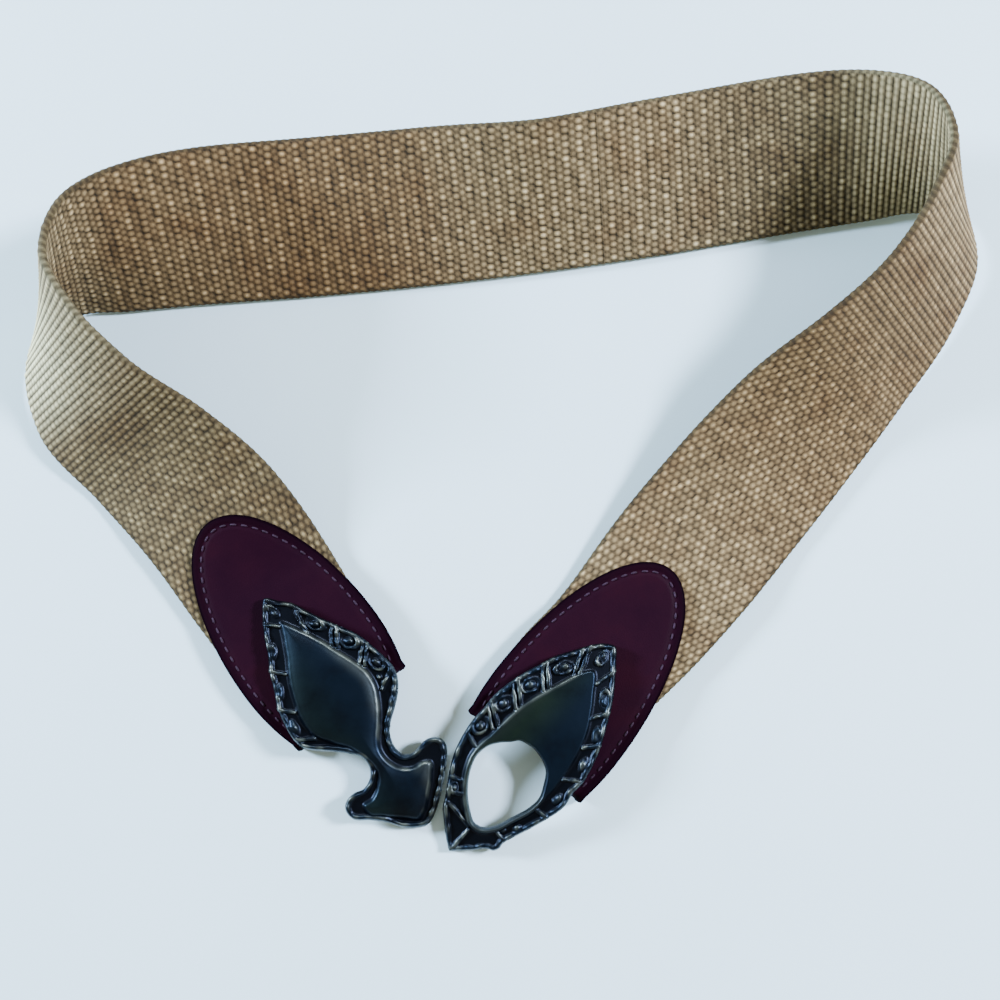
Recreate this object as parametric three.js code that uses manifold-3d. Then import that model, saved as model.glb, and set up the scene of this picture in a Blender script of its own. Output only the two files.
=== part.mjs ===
// A wide woven waist belt lying open on a table: one long band of heavy webbing, a stitched leather
// tongue folded round each end, and a cast two-piece clasp, a hook leaf and a leaf with an eye.
// Millimetres, +Z up. The belt rests on Z = 0 and the middle of its box is the origin.

import * as THREE from 'three';
import { mergeVertices } from 'three/addons/utils/BufferGeometryUtils.js';
import Module from 'manifold-3d';

// Driving dimensions

const BAND_THICKNESS = 2.4;
const BAND_STEP = 6;
const LEATHER = 1.5;
const SEAM_GAP = 0.3;
const STACK_MIDDLE = 3.0;

const TONGUE_LENGTH = 71.6;

const PEG_RADIUS = 1.1;
const PEG_END = 17.5;
const LUG_INNER = 9.6;
const LUG_WIDTH = 2.4;
const LUG_LENGTH = 2.6;
const NOTCH_HALF = 12.4;
const NOTCH_DEPTH = 3.6;

const PLATE_THICKNESS = 2.4;
const RIM_HEIGHT = 0.9;
const FIELD_RISE = 0.9;
const FIELD_EDGE_RISE = 0.4;

// How finely the bodies are stepped

const NOSE_STEPS = 12;
const NOSE_START_DEGREES = 4;
const STRAIGHT_STEPS = 5;
const FOLD_STEPS = 6;
const TONGUE_PARTS = [-1, -0.5, 0, 0.5, 1];
const HOOK_STATION_STEP = 2.6;
const LOOP_RAYS = 72;
const RAY_SEARCH_STEP = 0.5;
const PEG_SIDES = 12;
const BEAD_SIDES = 10;
const BEAD_RINGS = 6;

// The band, followed along its length from the eye clasp to the hook clasp. Each row gives both
// edges of the webbing at one place: the foot edge that meets the table and the top edge.
const BAND_ROWS = [
  // at, footX, footY, footZ, topX, topY, topZ, width
  [0, 24, -90, 3, -7, -67, 3, 39],
  [25, 42, -71, 3, 6, -47, 3, 44],
  [48, 59, -55, 3, 19, -31, 3, 46],
  [76, 77, -36, 3, 37, -8, 5, 49],
  [104, 95, -15, 1.2, 55, 14, 11, 50],
  [132, 112, 6, 1.2, 74, 34, 20, 50],
  [165, 132, 32, 1.2, 99, 51, 33, 50],
  [195, 150, 58, 2, 119, 70, 40, 50],
  [218, 159, 81, 3, 130, 88, 44, 50],
  [235, 155, 96, 2.5, 135, 103, 48, 50],
  [250, 142, 99, 1.2, 131, 117, 47, 50],
  [270, 124, 96, 1.2, 117, 128, 39, 50],
  [300, 95, 91, 1.2, 88, 133, 29, 50],
  [340, 56, 84, 1.2, 50, 124, 31, 50],
  [380, 16, 78, 1.2, 11, 113, 36, 50],
  [420, -23, 73, 1.2, -27, 115, 29, 50],
  [460, -63, 69, 1.2, -67, 115, 26.5, 50],
  [500, -102, 66, 1.2, -105, 102, 35, 50],
  [522, -124, 64, 1.2, -123, 91, 44, 50],
  [538, -139, 63, 1.2, -131, 79, 48, 50],
  [552, -150, 58, 2, -133, 66, 49, 50],
  [570, -155, 43, 3, -126, 51, 43, 50],
  [592, -149, 21, 3.5, -113, 38, 34, 50],
  [622, -129, -1, 1.2, -91, 24, 22, 50],
  [648, -112, -19, 3, -72, 7, 11, 49],
  [676, -94, -42, 3, -55, -18, 3, 47],
  [698, -80, -59, 3, -44, -34, 3, 44],
  [721, -63, -76, 3, -32, -52, 3, 39],
];
const BAND = { at: 0, footX: 1, footY: 2, footZ: 3, topX: 4, topY: 5, topZ: 6, width: 7 };
const BAND_END_CLEARANCE = 4.2;

// Where each tongue is folded round its pegs, and the way it points from the fold to its nose. Its
// outline is two half ellipses: half is its half width where it is widest, widest the distance from
// the fold to there, and root the reach of the ellipse on the fold's side.
const TONGUES = {
  loop_tab: { foldX: 8.96, foldY: -78.83, heading: 51.2, half: 23.4, widest: 14, root: 43.9 },
  hook_tab: { foldX: -47.43, foldY: -64.28, heading: 128.7, half: 23.7, widest: 20, root: 42 },
};

// Each clasp half lies with its leaf tip on the leather and its far end on the table, gently bowed.
const CLASPS = {
  hook_plate: { tipX: -73.6, tipY: -32.6, heading: -53.5, length: 86, tongue: TONGUES.hook_tab },
  loop_plate: { tipX: 34.5, tipY: -47.4, heading: -127.2, length: 79, tongue: TONGUES.loop_tab },
};
const CLASP_TIP_LIFT = 6.3;
const CLASP_BOW = 4.0;

// The hook leaf, its neck and its fish tail. Out is the plate's edge and In the edge of the smooth
// field, both measured across from the axis, and lag sets the ears' edge back towards the leaf.
const HOOK_ROWS = [
  // along, leftOut, leftIn, rightIn, rightOut, lag
  [0, -0.6, 0.1, 0.5, 1.0, 0],
  [6.4, -4.8, 0.1, 0.5, 6.4, 0],
  [11, -7.0, -0.4, 1.0, 8.6, 0],
  [18, -10.2, -4.4, 5.0, 12.4, 0],
  [26, -13.4, -8.1, 8.6, 17.0, 0],
  [34, -16.2, -11.0, 12.0, 19.3, 0],
  [41, -16.9, -11.8, 12.9, 20.2, 0],
  [45.5, -15.4, -10.0, 11.4, 18.5, 0],
  [49.5, -11.4, -7.0, 8.6, 15.2, 0],
  [53.5, -6.9, -4.0, 5.2, 10.9, 0],
  [57.5, -3.8, -2.2, 3.2, 7.2, 0],
  [61.5, -3.6, -2.0, 2.8, 6.3, 0],
  [64.5, -5.2, -2.8, 3.8, 7.4, 0],
  [66.5, -9.6, -5.6, 6.6, 11.6, -1.0],
  [68.2, -13.8, -9.2, 9.6, 15.8, -2.8],
  [70.2, -16.6, -11.8, 12.2, 19.0, -2.4],
  [72.6, -15.6, -11.2, 11.8, 18.2, -0.8],
  [76.5, -10.8, -8.0, 8.0, 14.0, 0],
  [80.5, -7.0, -3.8, 3.8, 9.8, 0],
  [83.8, -3.4, -1.0, 1.4, 5.4, 0],
  [86, -0.6, 0.2, 0.8, 1.6, 0],
];
const HOOK = { along: 0, leftOut: 1, leftIn: 2, rightIn: 3, rightOut: 4, lag: 5 };

// The eye leaf, in rays from the middle of its eye. The angle starts at the leaf's tip and turns
// by way of the left edge. The field ray is the inner edge of the cast border.
const EYE_ALONG = 53.5;
const EYE_ACROSS = -1.8;
const LOOP_ROWS = [
  // angle, eye, field, out
  [0, 13.8, 42, 53.5],
  [7, 13.7, 34.5, 47.2],
  [15, 13.9, 29, 41.2],
  [27, 13.9, 23, 33.6],
  [44, 13.6, 17.2, 26.4],
  [62, 13.1, 14.8, 21.5],
  [90, 10.9, 12.4, 18.4],
  [112, 10.4, 11.9, 17.1],
  [133, 10.6, 12.0, 17.6],
  [145, 11.8, 13.2, 19.4],
  [165, 14.0, 15.4, 23.4],
  [179, 14.5, 16.0, 25.6],
  [193, 13.8, 15.3, 21.8],
  [206, 12.6, 14.2, 19.8],
  [221, 10.8, 12.4, 17.6],
  [253, 10.2, 11.8, 15.9],
  [280, 11.4, 12.9, 18.0],
  [298, 12.5, 14.6, 20.8],
  [316, 13.5, 20.0, 26.6],
  [332, 14.2, 27.5, 34.3],
  [345, 14.0, 35.0, 43.2],
  [354, 13.9, 40.0, 50.6],
  [360, 13.8, 42, 53.5],
];
const LOOP = { angle: 0, eye: 1, field: 2, out: 3 };

// Cast relief in the borders: bars that part the border into cells, and an oval bead in each cell.
const BAR_HALF_WIDTH = 0.6;
const BAR_HEIGHT = 0.9;
const BAR_SINK = 1.5;
const BAR_PROFILE = [
  // across in half widths, rise
  [-1, -BAR_SINK],
  [-1, 0.2],
  [-0.5, BAR_HEIGHT],
  [0.5, BAR_HEIGHT],
  [1, 0.2],
  [1, -BAR_SINK],
];
const BEAD_HEIGHT = 0.9;
const BEAD_SINK = 0.5;
const HOOK_BARS = [
  // fromAlong, fromAcross, toAlong, toAcross
  [7.4, 5.2, 16.2, 4.9],
  [18.9, 12.0, 24.6, 8.8],
  [20.7, 12.9, 25.8, 9.4],
  [29.4, 17.0, 34.2, 12.9],
  [40.8, 19.4, 43.8, 13.2],
  [6.8, -4.2, 11.0, -1.0],
  [19.9, -10.6, 23.0, -7.6],
  [31.1, -14.9, 33.6, -11.6],
  [42.4, -16.0, 44.0, -12.0],
];
const HOOK_BEADS = [
  // along, across, halfLength, halfWidth, turn
  [5.6, 0.3, 2.6, 0.9, 20],
  [16.6, 8.4, 3.0, 1.2, 35],
  [26.8, 13.4, 3.0, 1.6, 30],
  [37.2, 16.4, 2.8, 1.6, 20],
  [15.3, -6.9, 2.9, 1.2, -24],
  [26.6, -11.6, 2.9, 1.1, -20],
  [37.8, -14.4, 2.8, 1.1, -4],
];
const LOOP_BARS = [
  [5.6, -5.8, 13.6, -3.6],
  [6.9, -6.8, 15.0, -4.4],
  [17.0, -12.4, 22.6, -8.2],
  [26.6, -16.6, 31.0, -11.6],
  [28.0, -17.2, 32.4, -12.3],
  [36.4, -19.0, 40.6, -14.2],
  [12.4, 3.4, 6.4, 5.4],
  [19.6, 11.8, 21.8, 7.8],
  [28.6, 14.6, 30.0, 10.8],
  [35.6, 15.8, 37.0, 11.6],
  [50.0, 14.6, 51.8, 10.6],
  [67.6, 8.2, 64.6, 5.4],
  [56.0, -17.6, 54.6, -13.6],
];
const LOOP_BEADS = [
  [5.0, -0.3, 2.8, 1.0, 6],
  [13.9, -8.2, 2.6, 1.2, -32],
  [23.6, -12.9, 2.6, 1.2, -28],
  [33.6, -15.8, 2.4, 1.3, -20],
  [43.2, -17.3, 2.5, 1.6, 0],
  [14.4, 7.6, 2.8, 1.1, 30],
  [24.6, 11.6, 2.6, 1.2, 24],
  [33.2, 13.6, 2.2, 1.1, 10],
  [43.4, 14.2, 2.8, 1.1, 0],
  [59.4, 10.4, 3.4, 0.9, -24],
];

// Finishes

const finishes = {
  webbing: { color: 0xa58a62, roughness: 0.9, metalness: 0 },
  leather: { color: 0x35131f, roughness: 0.5, metalness: 0 },
  gunmetal: { color: 0x1c2426, roughness: 0.35, metalness: 0.9 },
};

// Curves through the tables

const radians = (degrees) => (degrees * Math.PI) / 180;

// The slope at each row, from the rises on both sides. A calm column keeps level runs level.
function slopes(rows, key, column, calm) {
  const rise = (i) => (rows[i + 1][column] - rows[i][column]) / (rows[i + 1][key] - rows[i][key]);
  return rows.map((row, i) => {
    if (i === 0) return rise(0);
    if (i === rows.length - 1) return rise(i - 1);
    const before = rise(i - 1);
    const after = rise(i);
    if (calm && before * after <= 0) return 0;
    const stepBefore = row[key] - rows[i - 1][key];
    const stepAfter = rows[i + 1][key] - row[key];
    const even = (after * stepBefore + before * stepAfter) / (stepBefore + stepAfter);
    if (!calm) return even;
    return Math.sign(even) * Math.min(Math.abs(even), 2 * Math.abs(before), 2 * Math.abs(after));
  });
}

// A smooth reading of one column: a cubic between rows that keeps each row's slope.
function reader(rows, key, column, calm = false) {
  const slope = slopes(rows, key, column, calm);
  return (at) => {
    let i = 0;
    while (i < rows.length - 2 && at > rows[i + 1][key]) i += 1;
    const step = rows[i + 1][key] - rows[i][key];
    const t = THREE.MathUtils.clamp((at - rows[i][key]) / step, 0, 1);
    const start = rows[i][column];
    const end = rows[i + 1][column];
    return (
      (2 * t ** 3 - 3 * t ** 2 + 1) * start +
      (t ** 3 - 2 * t ** 2 + t) * step * slope[i] +
      (3 * t ** 2 - 2 * t ** 3) * end +
      (t ** 3 - t ** 2) * step * slope[i + 1]
    );
  };
}

// Closed solids from grids

function bodyOf(vertices, index) {
  const geometry = new THREE.BufferGeometry();
  const numbers = vertices.flatMap((point) => [point.x, point.y, point.z]);
  geometry.setAttribute('position', new THREE.Float32BufferAttribute(numbers, 3));
  geometry.setIndex(index);
  return geometry;
}

// Two grids of points, outer and inner, joined along their borders into one closed body.
function slab(outer, inner, ring = false) {
  const rows = outer.length;
  const columns = outer[0].length;
  const vertices = [...outer.flat(), ...inner.flat()];
  const index = [];
  const id = (side, i, j) => side * rows * columns + (i % rows) * columns + j;
  const quad = (a, b, c, d) => index.push(a, b, c, a, c, d);
  const lastRow = ring ? rows : rows - 1;
  for (let i = 0; i < lastRow; i += 1) {
    for (let j = 0; j < columns - 1; j += 1) {
      quad(id(0, i, j), id(0, i + 1, j), id(0, i + 1, j + 1), id(0, i, j + 1));
      quad(id(1, i, j), id(1, i, j + 1), id(1, i + 1, j + 1), id(1, i + 1, j));
    }
    quad(id(0, i, 0), id(1, i, 0), id(1, i + 1, 0), id(0, i + 1, 0));
    const last = columns - 1;
    quad(id(0, i, last), id(0, i + 1, last), id(1, i + 1, last), id(1, i, last));
  }
  if (!ring) {
    for (let j = 0; j < columns - 1; j += 1) {
      quad(id(0, 0, j), id(0, 0, j + 1), id(1, 0, j + 1), id(1, 0, j));
      quad(id(0, rows - 1, j), id(1, rows - 1, j), id(1, rows - 1, j + 1), id(0, rows - 1, j + 1));
    }
  }
  return bodyOf(vertices, index);
}

// Joins and cuts

const wasm = await Module();
wasm.setup();

function solid(geometry) {
  const bare = new THREE.BufferGeometry();
  bare.setAttribute('position', geometry.getAttribute('position').clone());
  if (geometry.index) bare.setIndex(geometry.index.clone());
  const merged = mergeVertices(bare, 1e-4);
  const vertProperties = new Float32Array(merged.getAttribute('position').array);
  const triVerts = new Uint32Array(merged.index.array);
  return new wasm.Manifold(new wasm.Mesh({ numProp: 3, vertProperties, triVerts }));
}

function geometryOf(body) {
  const { vertProperties, triVerts } = body.getMesh();
  const geometry = new THREE.BufferGeometry();
  geometry.setAttribute('position', new THREE.BufferAttribute(new Float32Array(vertProperties), 3));
  geometry.setIndex(new THREE.BufferAttribute(new Uint32Array(triVerts), 1));
  return geometry;
}

const joined = (first, others) => others.reduce((body, other) => body.add(solid(other)), solid(first));
const cut = (first, others) => others.reduce((body, other) => body.subtract(solid(other)), first);

// The webbing

const bandColumn = Object.fromEntries(
  Object.keys(BAND).map((name) => [name, reader(BAND_ROWS, BAND.at, BAND[name], name.endsWith('Z'))]),
);
const bandLength = BAND_ROWS[BAND_ROWS.length - 1][BAND.at];

// A point of the webbing's middle layer, at a distance along it and a part of the width from the foot.
function webbingPoint(at, part) {
  const foot = new THREE.Vector3(bandColumn.footX(at), bandColumn.footY(at), bandColumn.footZ(at));
  const top = new THREE.Vector3(bandColumn.topX(at), bandColumn.topY(at), bandColumn.topZ(at));
  return foot.addScaledVector(top.sub(foot).normalize(), part * bandColumn.width(at));
}

// The webbing's outward direction at a point: up where it lies flat.
function webbingNormal(at, part) {
  const nudge = 0.5;
  const along = webbingPoint(at + nudge, part).sub(webbingPoint(at - nudge, part));
  const across = webbingPoint(at, 1).sub(webbingPoint(at, 0));
  return along.cross(across).normalize();
}

function band() {
  const first = BAND_END_CLEARANCE;
  const last = bandLength - BAND_END_CLEARANCE;
  const count = Math.round((last - first) / BAND_STEP);
  const parts = [0, 0.5, 1];
  const layer = (offset) =>
    Array.from({ length: count + 1 }, (_, i) => {
      const at = first + ((last - first) * i) / count;
      return parts.map((part) => webbingPoint(at, part).addScaledVector(webbingNormal(at, part), offset));
    });
  return slab(layer(BAND_THICKNESS / 2), layer(-BAND_THICKNESS / 2));
}

// The leather tongues

// The plan frame of a tongue: forward from its fold to its nose, and sideways to the left of that.
function frameOf({ foldX, foldY, heading }) {
  const forward = new THREE.Vector2(Math.cos(radians(heading)), Math.sin(radians(heading)));
  const side = new THREE.Vector2(-forward.y, forward.x);
  const fold = new THREE.Vector2(foldX, foldY);
  const spot = (a, c) => fold.clone().addScaledVector(forward, a).addScaledVector(side, c);
  return { forward, spot };
}

// The place in the webbing's middle layer that lies right under or over a spot of the table, found
// by stepping towards it from a first guess.
function webbingUnder(spot, guess) {
  let at = guess;
  let part = 0.5;
  const nudge = 0.01;
  for (let round = 0; round < 6; round += 1) {
    const here = webbingPoint(at, part);
    const alongStep = webbingPoint(at + 1, part).sub(webbingPoint(at - 1, part)).divideScalar(2);
    const across = webbingPoint(at, part + nudge).sub(webbingPoint(at, part - nudge));
    const acrossStep = across.divideScalar(2 * nudge);
    const missX = spot.x - here.x;
    const missY = spot.y - here.y;
    const area = alongStep.x * acrossStep.y - alongStep.y * acrossStep.x;
    at += (missX * acrossStep.y - missY * acrossStep.x) / area;
    part += (alongStep.x * missY - alongStep.y * missX) / area;
    at = THREE.MathUtils.clamp(at, 1, bandLength - 1);
  }
  return { at, part };
}

// Half the tongue's width at a distance from its fold.
function tongueHalf({ half, widest, root }, a) {
  const reach = a > widest ? TONGUE_LENGTH - widest : root;
  return half * Math.sqrt(Math.max(0, 1 - ((a - widest) / reach) ** 2));
}

function tongue(name, start) {
  const shape = TONGUES[name];
  const { forward, spot } = frameOf(shape);
  const { widest } = shape;
  const stations = [];
  for (let i = 0; i <= NOSE_STEPS; i += 1) {
    const turn = radians(THREE.MathUtils.lerp(NOSE_START_DEGREES, 90, i / NOSE_STEPS));
    stations.push({ a: widest + (TONGUE_LENGTH - widest) * Math.cos(turn), tilt: 90 });
  }
  for (let i = 1; i <= STRAIGHT_STEPS; i += 1) {
    stations.push({ a: widest * (1 - i / STRAIGHT_STEPS), tilt: 90 });
  }
  const front = stations.map((station) => ({ ...station }));
  for (let i = 1; i < FOLD_STEPS; i += 1) stations.push({ a: 0, tilt: 90 + (180 * i) / FOLD_STEPS });
  front.reverse().forEach(({ a }) => stations.push({ a, tilt: 270 }));
  const layer = (offset) =>
    stations.map(({ a, tilt }) =>
      TONGUE_PARTS.map((part) => {
        const plan = spot(a, part * tongueHalf(shape, a));
        const under = webbingUnder(plan, start === 0 ? a : start - a);
        const lift = a > 0 ? webbingNormal(under.at, under.part) : new THREE.Vector3(0, 0, 1);
        const flat = new THREE.Vector3(forward.x, forward.y, 0);
        const swing = radians(tilt);
        const direction = flat.multiplyScalar(Math.cos(swing)).addScaledVector(lift, Math.sin(swing));
        const height = a > 0 ? webbingPoint(under.at, under.part).z : STACK_MIDDLE;
        return new THREE.Vector3(plan.x, plan.y, height).addScaledVector(direction, offset);
      }),
    );
  const innerOffset = BAND_THICKNESS / 2 + SEAM_GAP;
  const folded = solid(slab(layer(innerOffset), layer(innerOffset + LEATHER)));
  const notch = new THREE.BoxGeometry(NOTCH_DEPTH * 2, NOTCH_HALF * 2, STACK_MIDDLE * 4);
  notch.rotateZ(Math.atan2(forward.y, forward.x));
  const fold = spot(0, 0);
  notch.translate(fold.x, fold.y, STACK_MIDDLE);
  return geometryOf(cut(folded, [notch]));
}

// The cast clasp

// Height of a clasp's underside: a straight fall from its tip to its far end, with a bow on top.
function claspUnderside(clasp, along) {
  const part = THREE.MathUtils.clamp(along / clasp.length, 0, 1);
  return CLASP_TIP_LIFT * (1 - part) + 4 * CLASP_BOW * part * (1 - part);
}

function claspPoint(clasp, along, across, rise) {
  const turn = radians(clasp.heading);
  return new THREE.Vector3(
    clasp.tipX + along * Math.cos(turn) - across * Math.sin(turn),
    clasp.tipY + along * Math.sin(turn) + across * Math.cos(turn),
    claspUnderside(clasp, along) + rise,
  );
}

const HOOK_SHOULDER_WIDTH = 6;
const HOOK_SPINE_WIDTH = 4;
const LOOP_FIELD_WIDTH = 8;
const LOOP_FIELD_PROFILE = [
  // part of the way from the border to the eye, drop below the field's height
  [0.4, 0],
  [0.8, 0.3],
];
const EYE_EDGE_DROP = 0.3;

// Heights of the cast face from the plate's edge inwards: edge, rim, channel, inner rim and field.
const BORDER_PROFILE = [
  // part of the border's width, rise
  [0, PLATE_THICKNESS - 0.5],
  [0.14, PLATE_THICKNESS + RIM_HEIGHT],
  [0.32, PLATE_THICKNESS],
  [0.76, PLATE_THICKNESS],
  [0.92, PLATE_THICKNESS + RIM_HEIGHT],
  [1, PLATE_THICKNESS + RIM_HEIGHT * 0.6],
];

// Height of the smooth field, which swells the more the wider it is.
const fieldRise = (halfWidth, fullWidth) =>
  PLATE_THICKNESS + FIELD_EDGE_RISE + FIELD_RISE * Math.min(1, halfWidth / fullWidth);

// Half of a hook section, from its edge to its spine.
function hookHalf(out, into, middle) {
  const border = BORDER_PROFILE.map(([part, rise]) => {
    const across = THREE.MathUtils.lerp(out, into, part);
    return { across, rise };
  });
  const rise = fieldRise(Math.abs(into - middle), HOOK_SHOULDER_WIDTH);
  border.push({ across: THREE.MathUtils.lerp(into, middle, 0.5), rise });
  return border;
}

function hookFace() {
  const column = Object.fromEntries(
    Object.keys(HOOK).map((name) => [name, reader(HOOK_ROWS, HOOK.along, HOOK[name])]),
  );
  const clasp = CLASPS.hook_plate;
  const stations = HOOK_ROWS.slice(0, -1).flatMap((row, i) => {
    const next = HOOK_ROWS[i + 1][HOOK.along];
    const count = Math.max(1, Math.round((next - row[HOOK.along]) / HOOK_STATION_STEP));
    return Array.from({ length: count }, (_, k) => THREE.MathUtils.lerp(row[HOOK.along], next, k / count));
  });
  stations.push(clasp.length);
  const face = [];
  const back = [];
  stations.forEach((along) => {
    const middle = (column.leftIn(along) + column.rightIn(along)) / 2;
    const right = hookHalf(column.rightOut(along), column.rightIn(along), middle);
    const left = hookHalf(column.leftOut(along), column.leftIn(along), middle);
    const spine = { across: middle, rise: fieldRise(column.rightIn(along) - middle, HOOK_SPINE_WIDTH) };
    const points = [...left, spine, ...right.reverse()];
    const reach = (across) => {
      const edge = across > middle ? column.rightOut(along) : column.leftOut(along);
      return Math.abs((across - middle) / (edge - middle));
    };
    const lagged = (across) => along + column.lag(along) * reach(across) ** 2;
    const place = (across, rise) => claspPoint(clasp, lagged(across), across, rise);
    face.push(points.map(({ across, rise }) => place(across, rise)));
    back.push(points.map(({ across }) => place(across, 0)));
  });
  return slab(face, back);
}

function loopFace() {
  const column = Object.fromEntries(
    Object.keys(LOOP).map((name) => [name, reader(LOOP_ROWS, LOOP.angle, LOOP[name])]),
  );
  const clasp = CLASPS.loop_plate;
  const ray = (angle, radius) => ({
    along: EYE_ALONG - radius * Math.cos(radians(angle)),
    across: EYE_ACROSS - radius * Math.sin(radians(angle)),
  });
  // Rays are spread so that their ends are evenly spaced round the plate's edge.
  const fine = Array.from({ length: 360 / RAY_SEARCH_STEP + 1 }, (_, i) => i * RAY_SEARCH_STEP);
  const travelled = [0];
  fine.slice(1).forEach((angle, i) => {
    const here = ray(angle, column.out(angle));
    const before = ray(fine[i], column.out(fine[i]));
    travelled.push(travelled[i] + Math.hypot(here.along - before.along, here.across - before.across));
  });
  const angles = Array.from({ length: LOOP_RAYS }, (_, k) => {
    const goal = (travelled[travelled.length - 1] * k) / LOOP_RAYS;
    return fine[travelled.findIndex((distance) => distance >= goal)];
  });
  const face = [];
  const back = [];
  angles.forEach((angle) => {
    const eye = column.eye(angle);
    const field = column.field(angle);
    const out = column.out(angle);
    const crown = fieldRise(field - eye, LOOP_FIELD_WIDTH);
    const points = BORDER_PROFILE.map(([part, rise]) => [THREE.MathUtils.lerp(out, field, part), rise]);
    LOOP_FIELD_PROFILE.forEach(([part, drop]) => {
      points.push([THREE.MathUtils.lerp(field, eye, part), crown - drop]);
    });
    points.push([eye, PLATE_THICKNESS - EYE_EDGE_DROP]);
    const place = (radius, rise) => {
      const { along, across } = ray(angle, radius);
      return claspPoint(clasp, along, across, rise);
    };
    face.push(points.map(([radius, rise]) => place(radius, rise)));
    back.push(points.map(([radius]) => place(radius, 0)));
  });
  return slab(face, back, true);
}

// A bar of the border: a low ridge between two places on the cast face.
function reliefBar(clasp, [fromAlong, fromAcross, toAlong, toAcross]) {
  const length = Math.hypot(toAlong - fromAlong, toAcross - fromAcross);
  const sideways = [-(toAcross - fromAcross) / length, (toAlong - fromAlong) / length];
  const ends = [0, 1].map((part) =>
    BAR_PROFILE.map(([across, rise]) =>
      claspPoint(
        clasp,
        THREE.MathUtils.lerp(fromAlong, toAlong, part) + sideways[0] * across * BAR_HALF_WIDTH,
        THREE.MathUtils.lerp(fromAcross, toAcross, part) + sideways[1] * across * BAR_HALF_WIDTH,
        PLATE_THICKNESS + rise,
      ),
    ),
  );
  const vertices = ends.flat();
  const count = BAR_PROFILE.length;
  const index = [];
  for (let i = 0; i < count; i += 1) {
    const next = (i + 1) % count;
    index.push(i, count + next, next, i, count + i, count + next);
  }
  for (let i = 1; i < count - 1; i += 1) {
    index.push(0, i, i + 1);
    index.push(count, count + i + 1, count + i);
  }
  return bodyOf(vertices, index);
}

// An oval bead lying in a cell of the border.
function reliefBead(clasp, [along, across, halfLength, halfWidth, turn]) {
  const bead = new THREE.SphereGeometry(1, BEAD_SIDES, BEAD_RINGS);
  bead.scale(halfLength, halfWidth, BEAD_HEIGHT + BEAD_SINK);
  bead.rotateZ(radians(clasp.heading + turn));
  const middle = claspPoint(clasp, along, across, PLATE_THICKNESS - BEAD_SINK);
  bead.translate(middle.x, middle.y, middle.z);
  return bead;
}

// The two lugs under the plate, and the peg that each holds out sideways into the leather's fold.
function lugsAndPegs(clasp) {
  const { forward, spot } = frameOf(clasp.tongue);
  const turn = Math.atan2(forward.y, forward.x);
  const heading = radians(clasp.heading);
  const bottom = STACK_MIDDLE - PEG_RADIUS;
  return [-1, 1].flatMap((hand) => {
    const foot = spot(0, hand * (LUG_INNER + LUG_WIDTH / 2));
    const fromTip = new THREE.Vector2(foot.x - clasp.tipX, foot.y - clasp.tipY);
    const along = fromTip.dot(new THREE.Vector2(Math.cos(heading), Math.sin(heading)));
    const height = claspUnderside(clasp, along) + PLATE_THICKNESS / 2 - bottom;
    const lug = new THREE.BoxGeometry(LUG_LENGTH, LUG_WIDTH, height);
    lug.rotateZ(turn);
    lug.translate(foot.x, foot.y, bottom + height / 2);
    const pegStart = LUG_INNER + LUG_WIDTH / 2;
    const peg = new THREE.CylinderGeometry(PEG_RADIUS, PEG_RADIUS, PEG_END - pegStart, PEG_SIDES);
    peg.rotateZ(turn);
    const centre = spot(0, (hand * (pegStart + PEG_END)) / 2);
    peg.translate(centre.x, centre.y, STACK_MIDDLE);
    return [lug, peg];
  });
}

function hookPlate() {
  const clasp = CLASPS.hook_plate;
  const relief = [
    ...HOOK_BARS.map((row) => reliefBar(clasp, row)),
    ...HOOK_BEADS.map((row) => reliefBead(clasp, row)),
  ];
  return geometryOf(joined(hookFace(), [...relief, ...lugsAndPegs(clasp)]));
}

function loopPlate() {
  const clasp = CLASPS.loop_plate;
  const relief = [
    ...LOOP_BARS.map((row) => reliefBar(clasp, row)),
    ...LOOP_BEADS.map((row) => reliefBead(clasp, row)),
  ];
  return geometryOf(joined(loopFace(), [...relief, ...lugsAndPegs(clasp)]));
}

// Assembly

const belt = new THREE.Group();

function addPiece(name, geometry, finish) {
  const faceted = geometry.index ? geometry.toNonIndexed() : geometry;
  faceted.computeVertexNormals();
  const mesh = new THREE.Mesh(faceted, new THREE.MeshStandardMaterial(finishes[finish]));
  mesh.name = name;
  belt.add(mesh);
}

addPiece('band', band(), 'webbing');
addPiece('loop_tab', tongue('loop_tab', 0), 'leather');
addPiece('hook_tab', tongue('hook_tab', bandLength), 'leather');
addPiece('loop_plate', loopPlate(), 'gunmetal');
addPiece('hook_plate', hookPlate(), 'gunmetal');

const box = new THREE.Box3().setFromObject(belt);
const middle = box.getCenter(new THREE.Vector3());
belt.position.set(-middle.x, -middle.y, -box.min.z);

export default belt;
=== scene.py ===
"""Dresses a wide woven waist belt that lies open on a pale table.

The belt is a long band of heavy basket-weave webbing with a stitched leather tongue folded round
each end, and a cast clasp in two halves: a leaf with a fish-tail hook and a leaf with an eye.
Lengths in the tables and in the classes are millimetres on the table, with the origin under the
photo's middle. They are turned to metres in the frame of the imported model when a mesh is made.
"""

import logging
from dataclasses import dataclass
from enum import Enum

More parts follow.
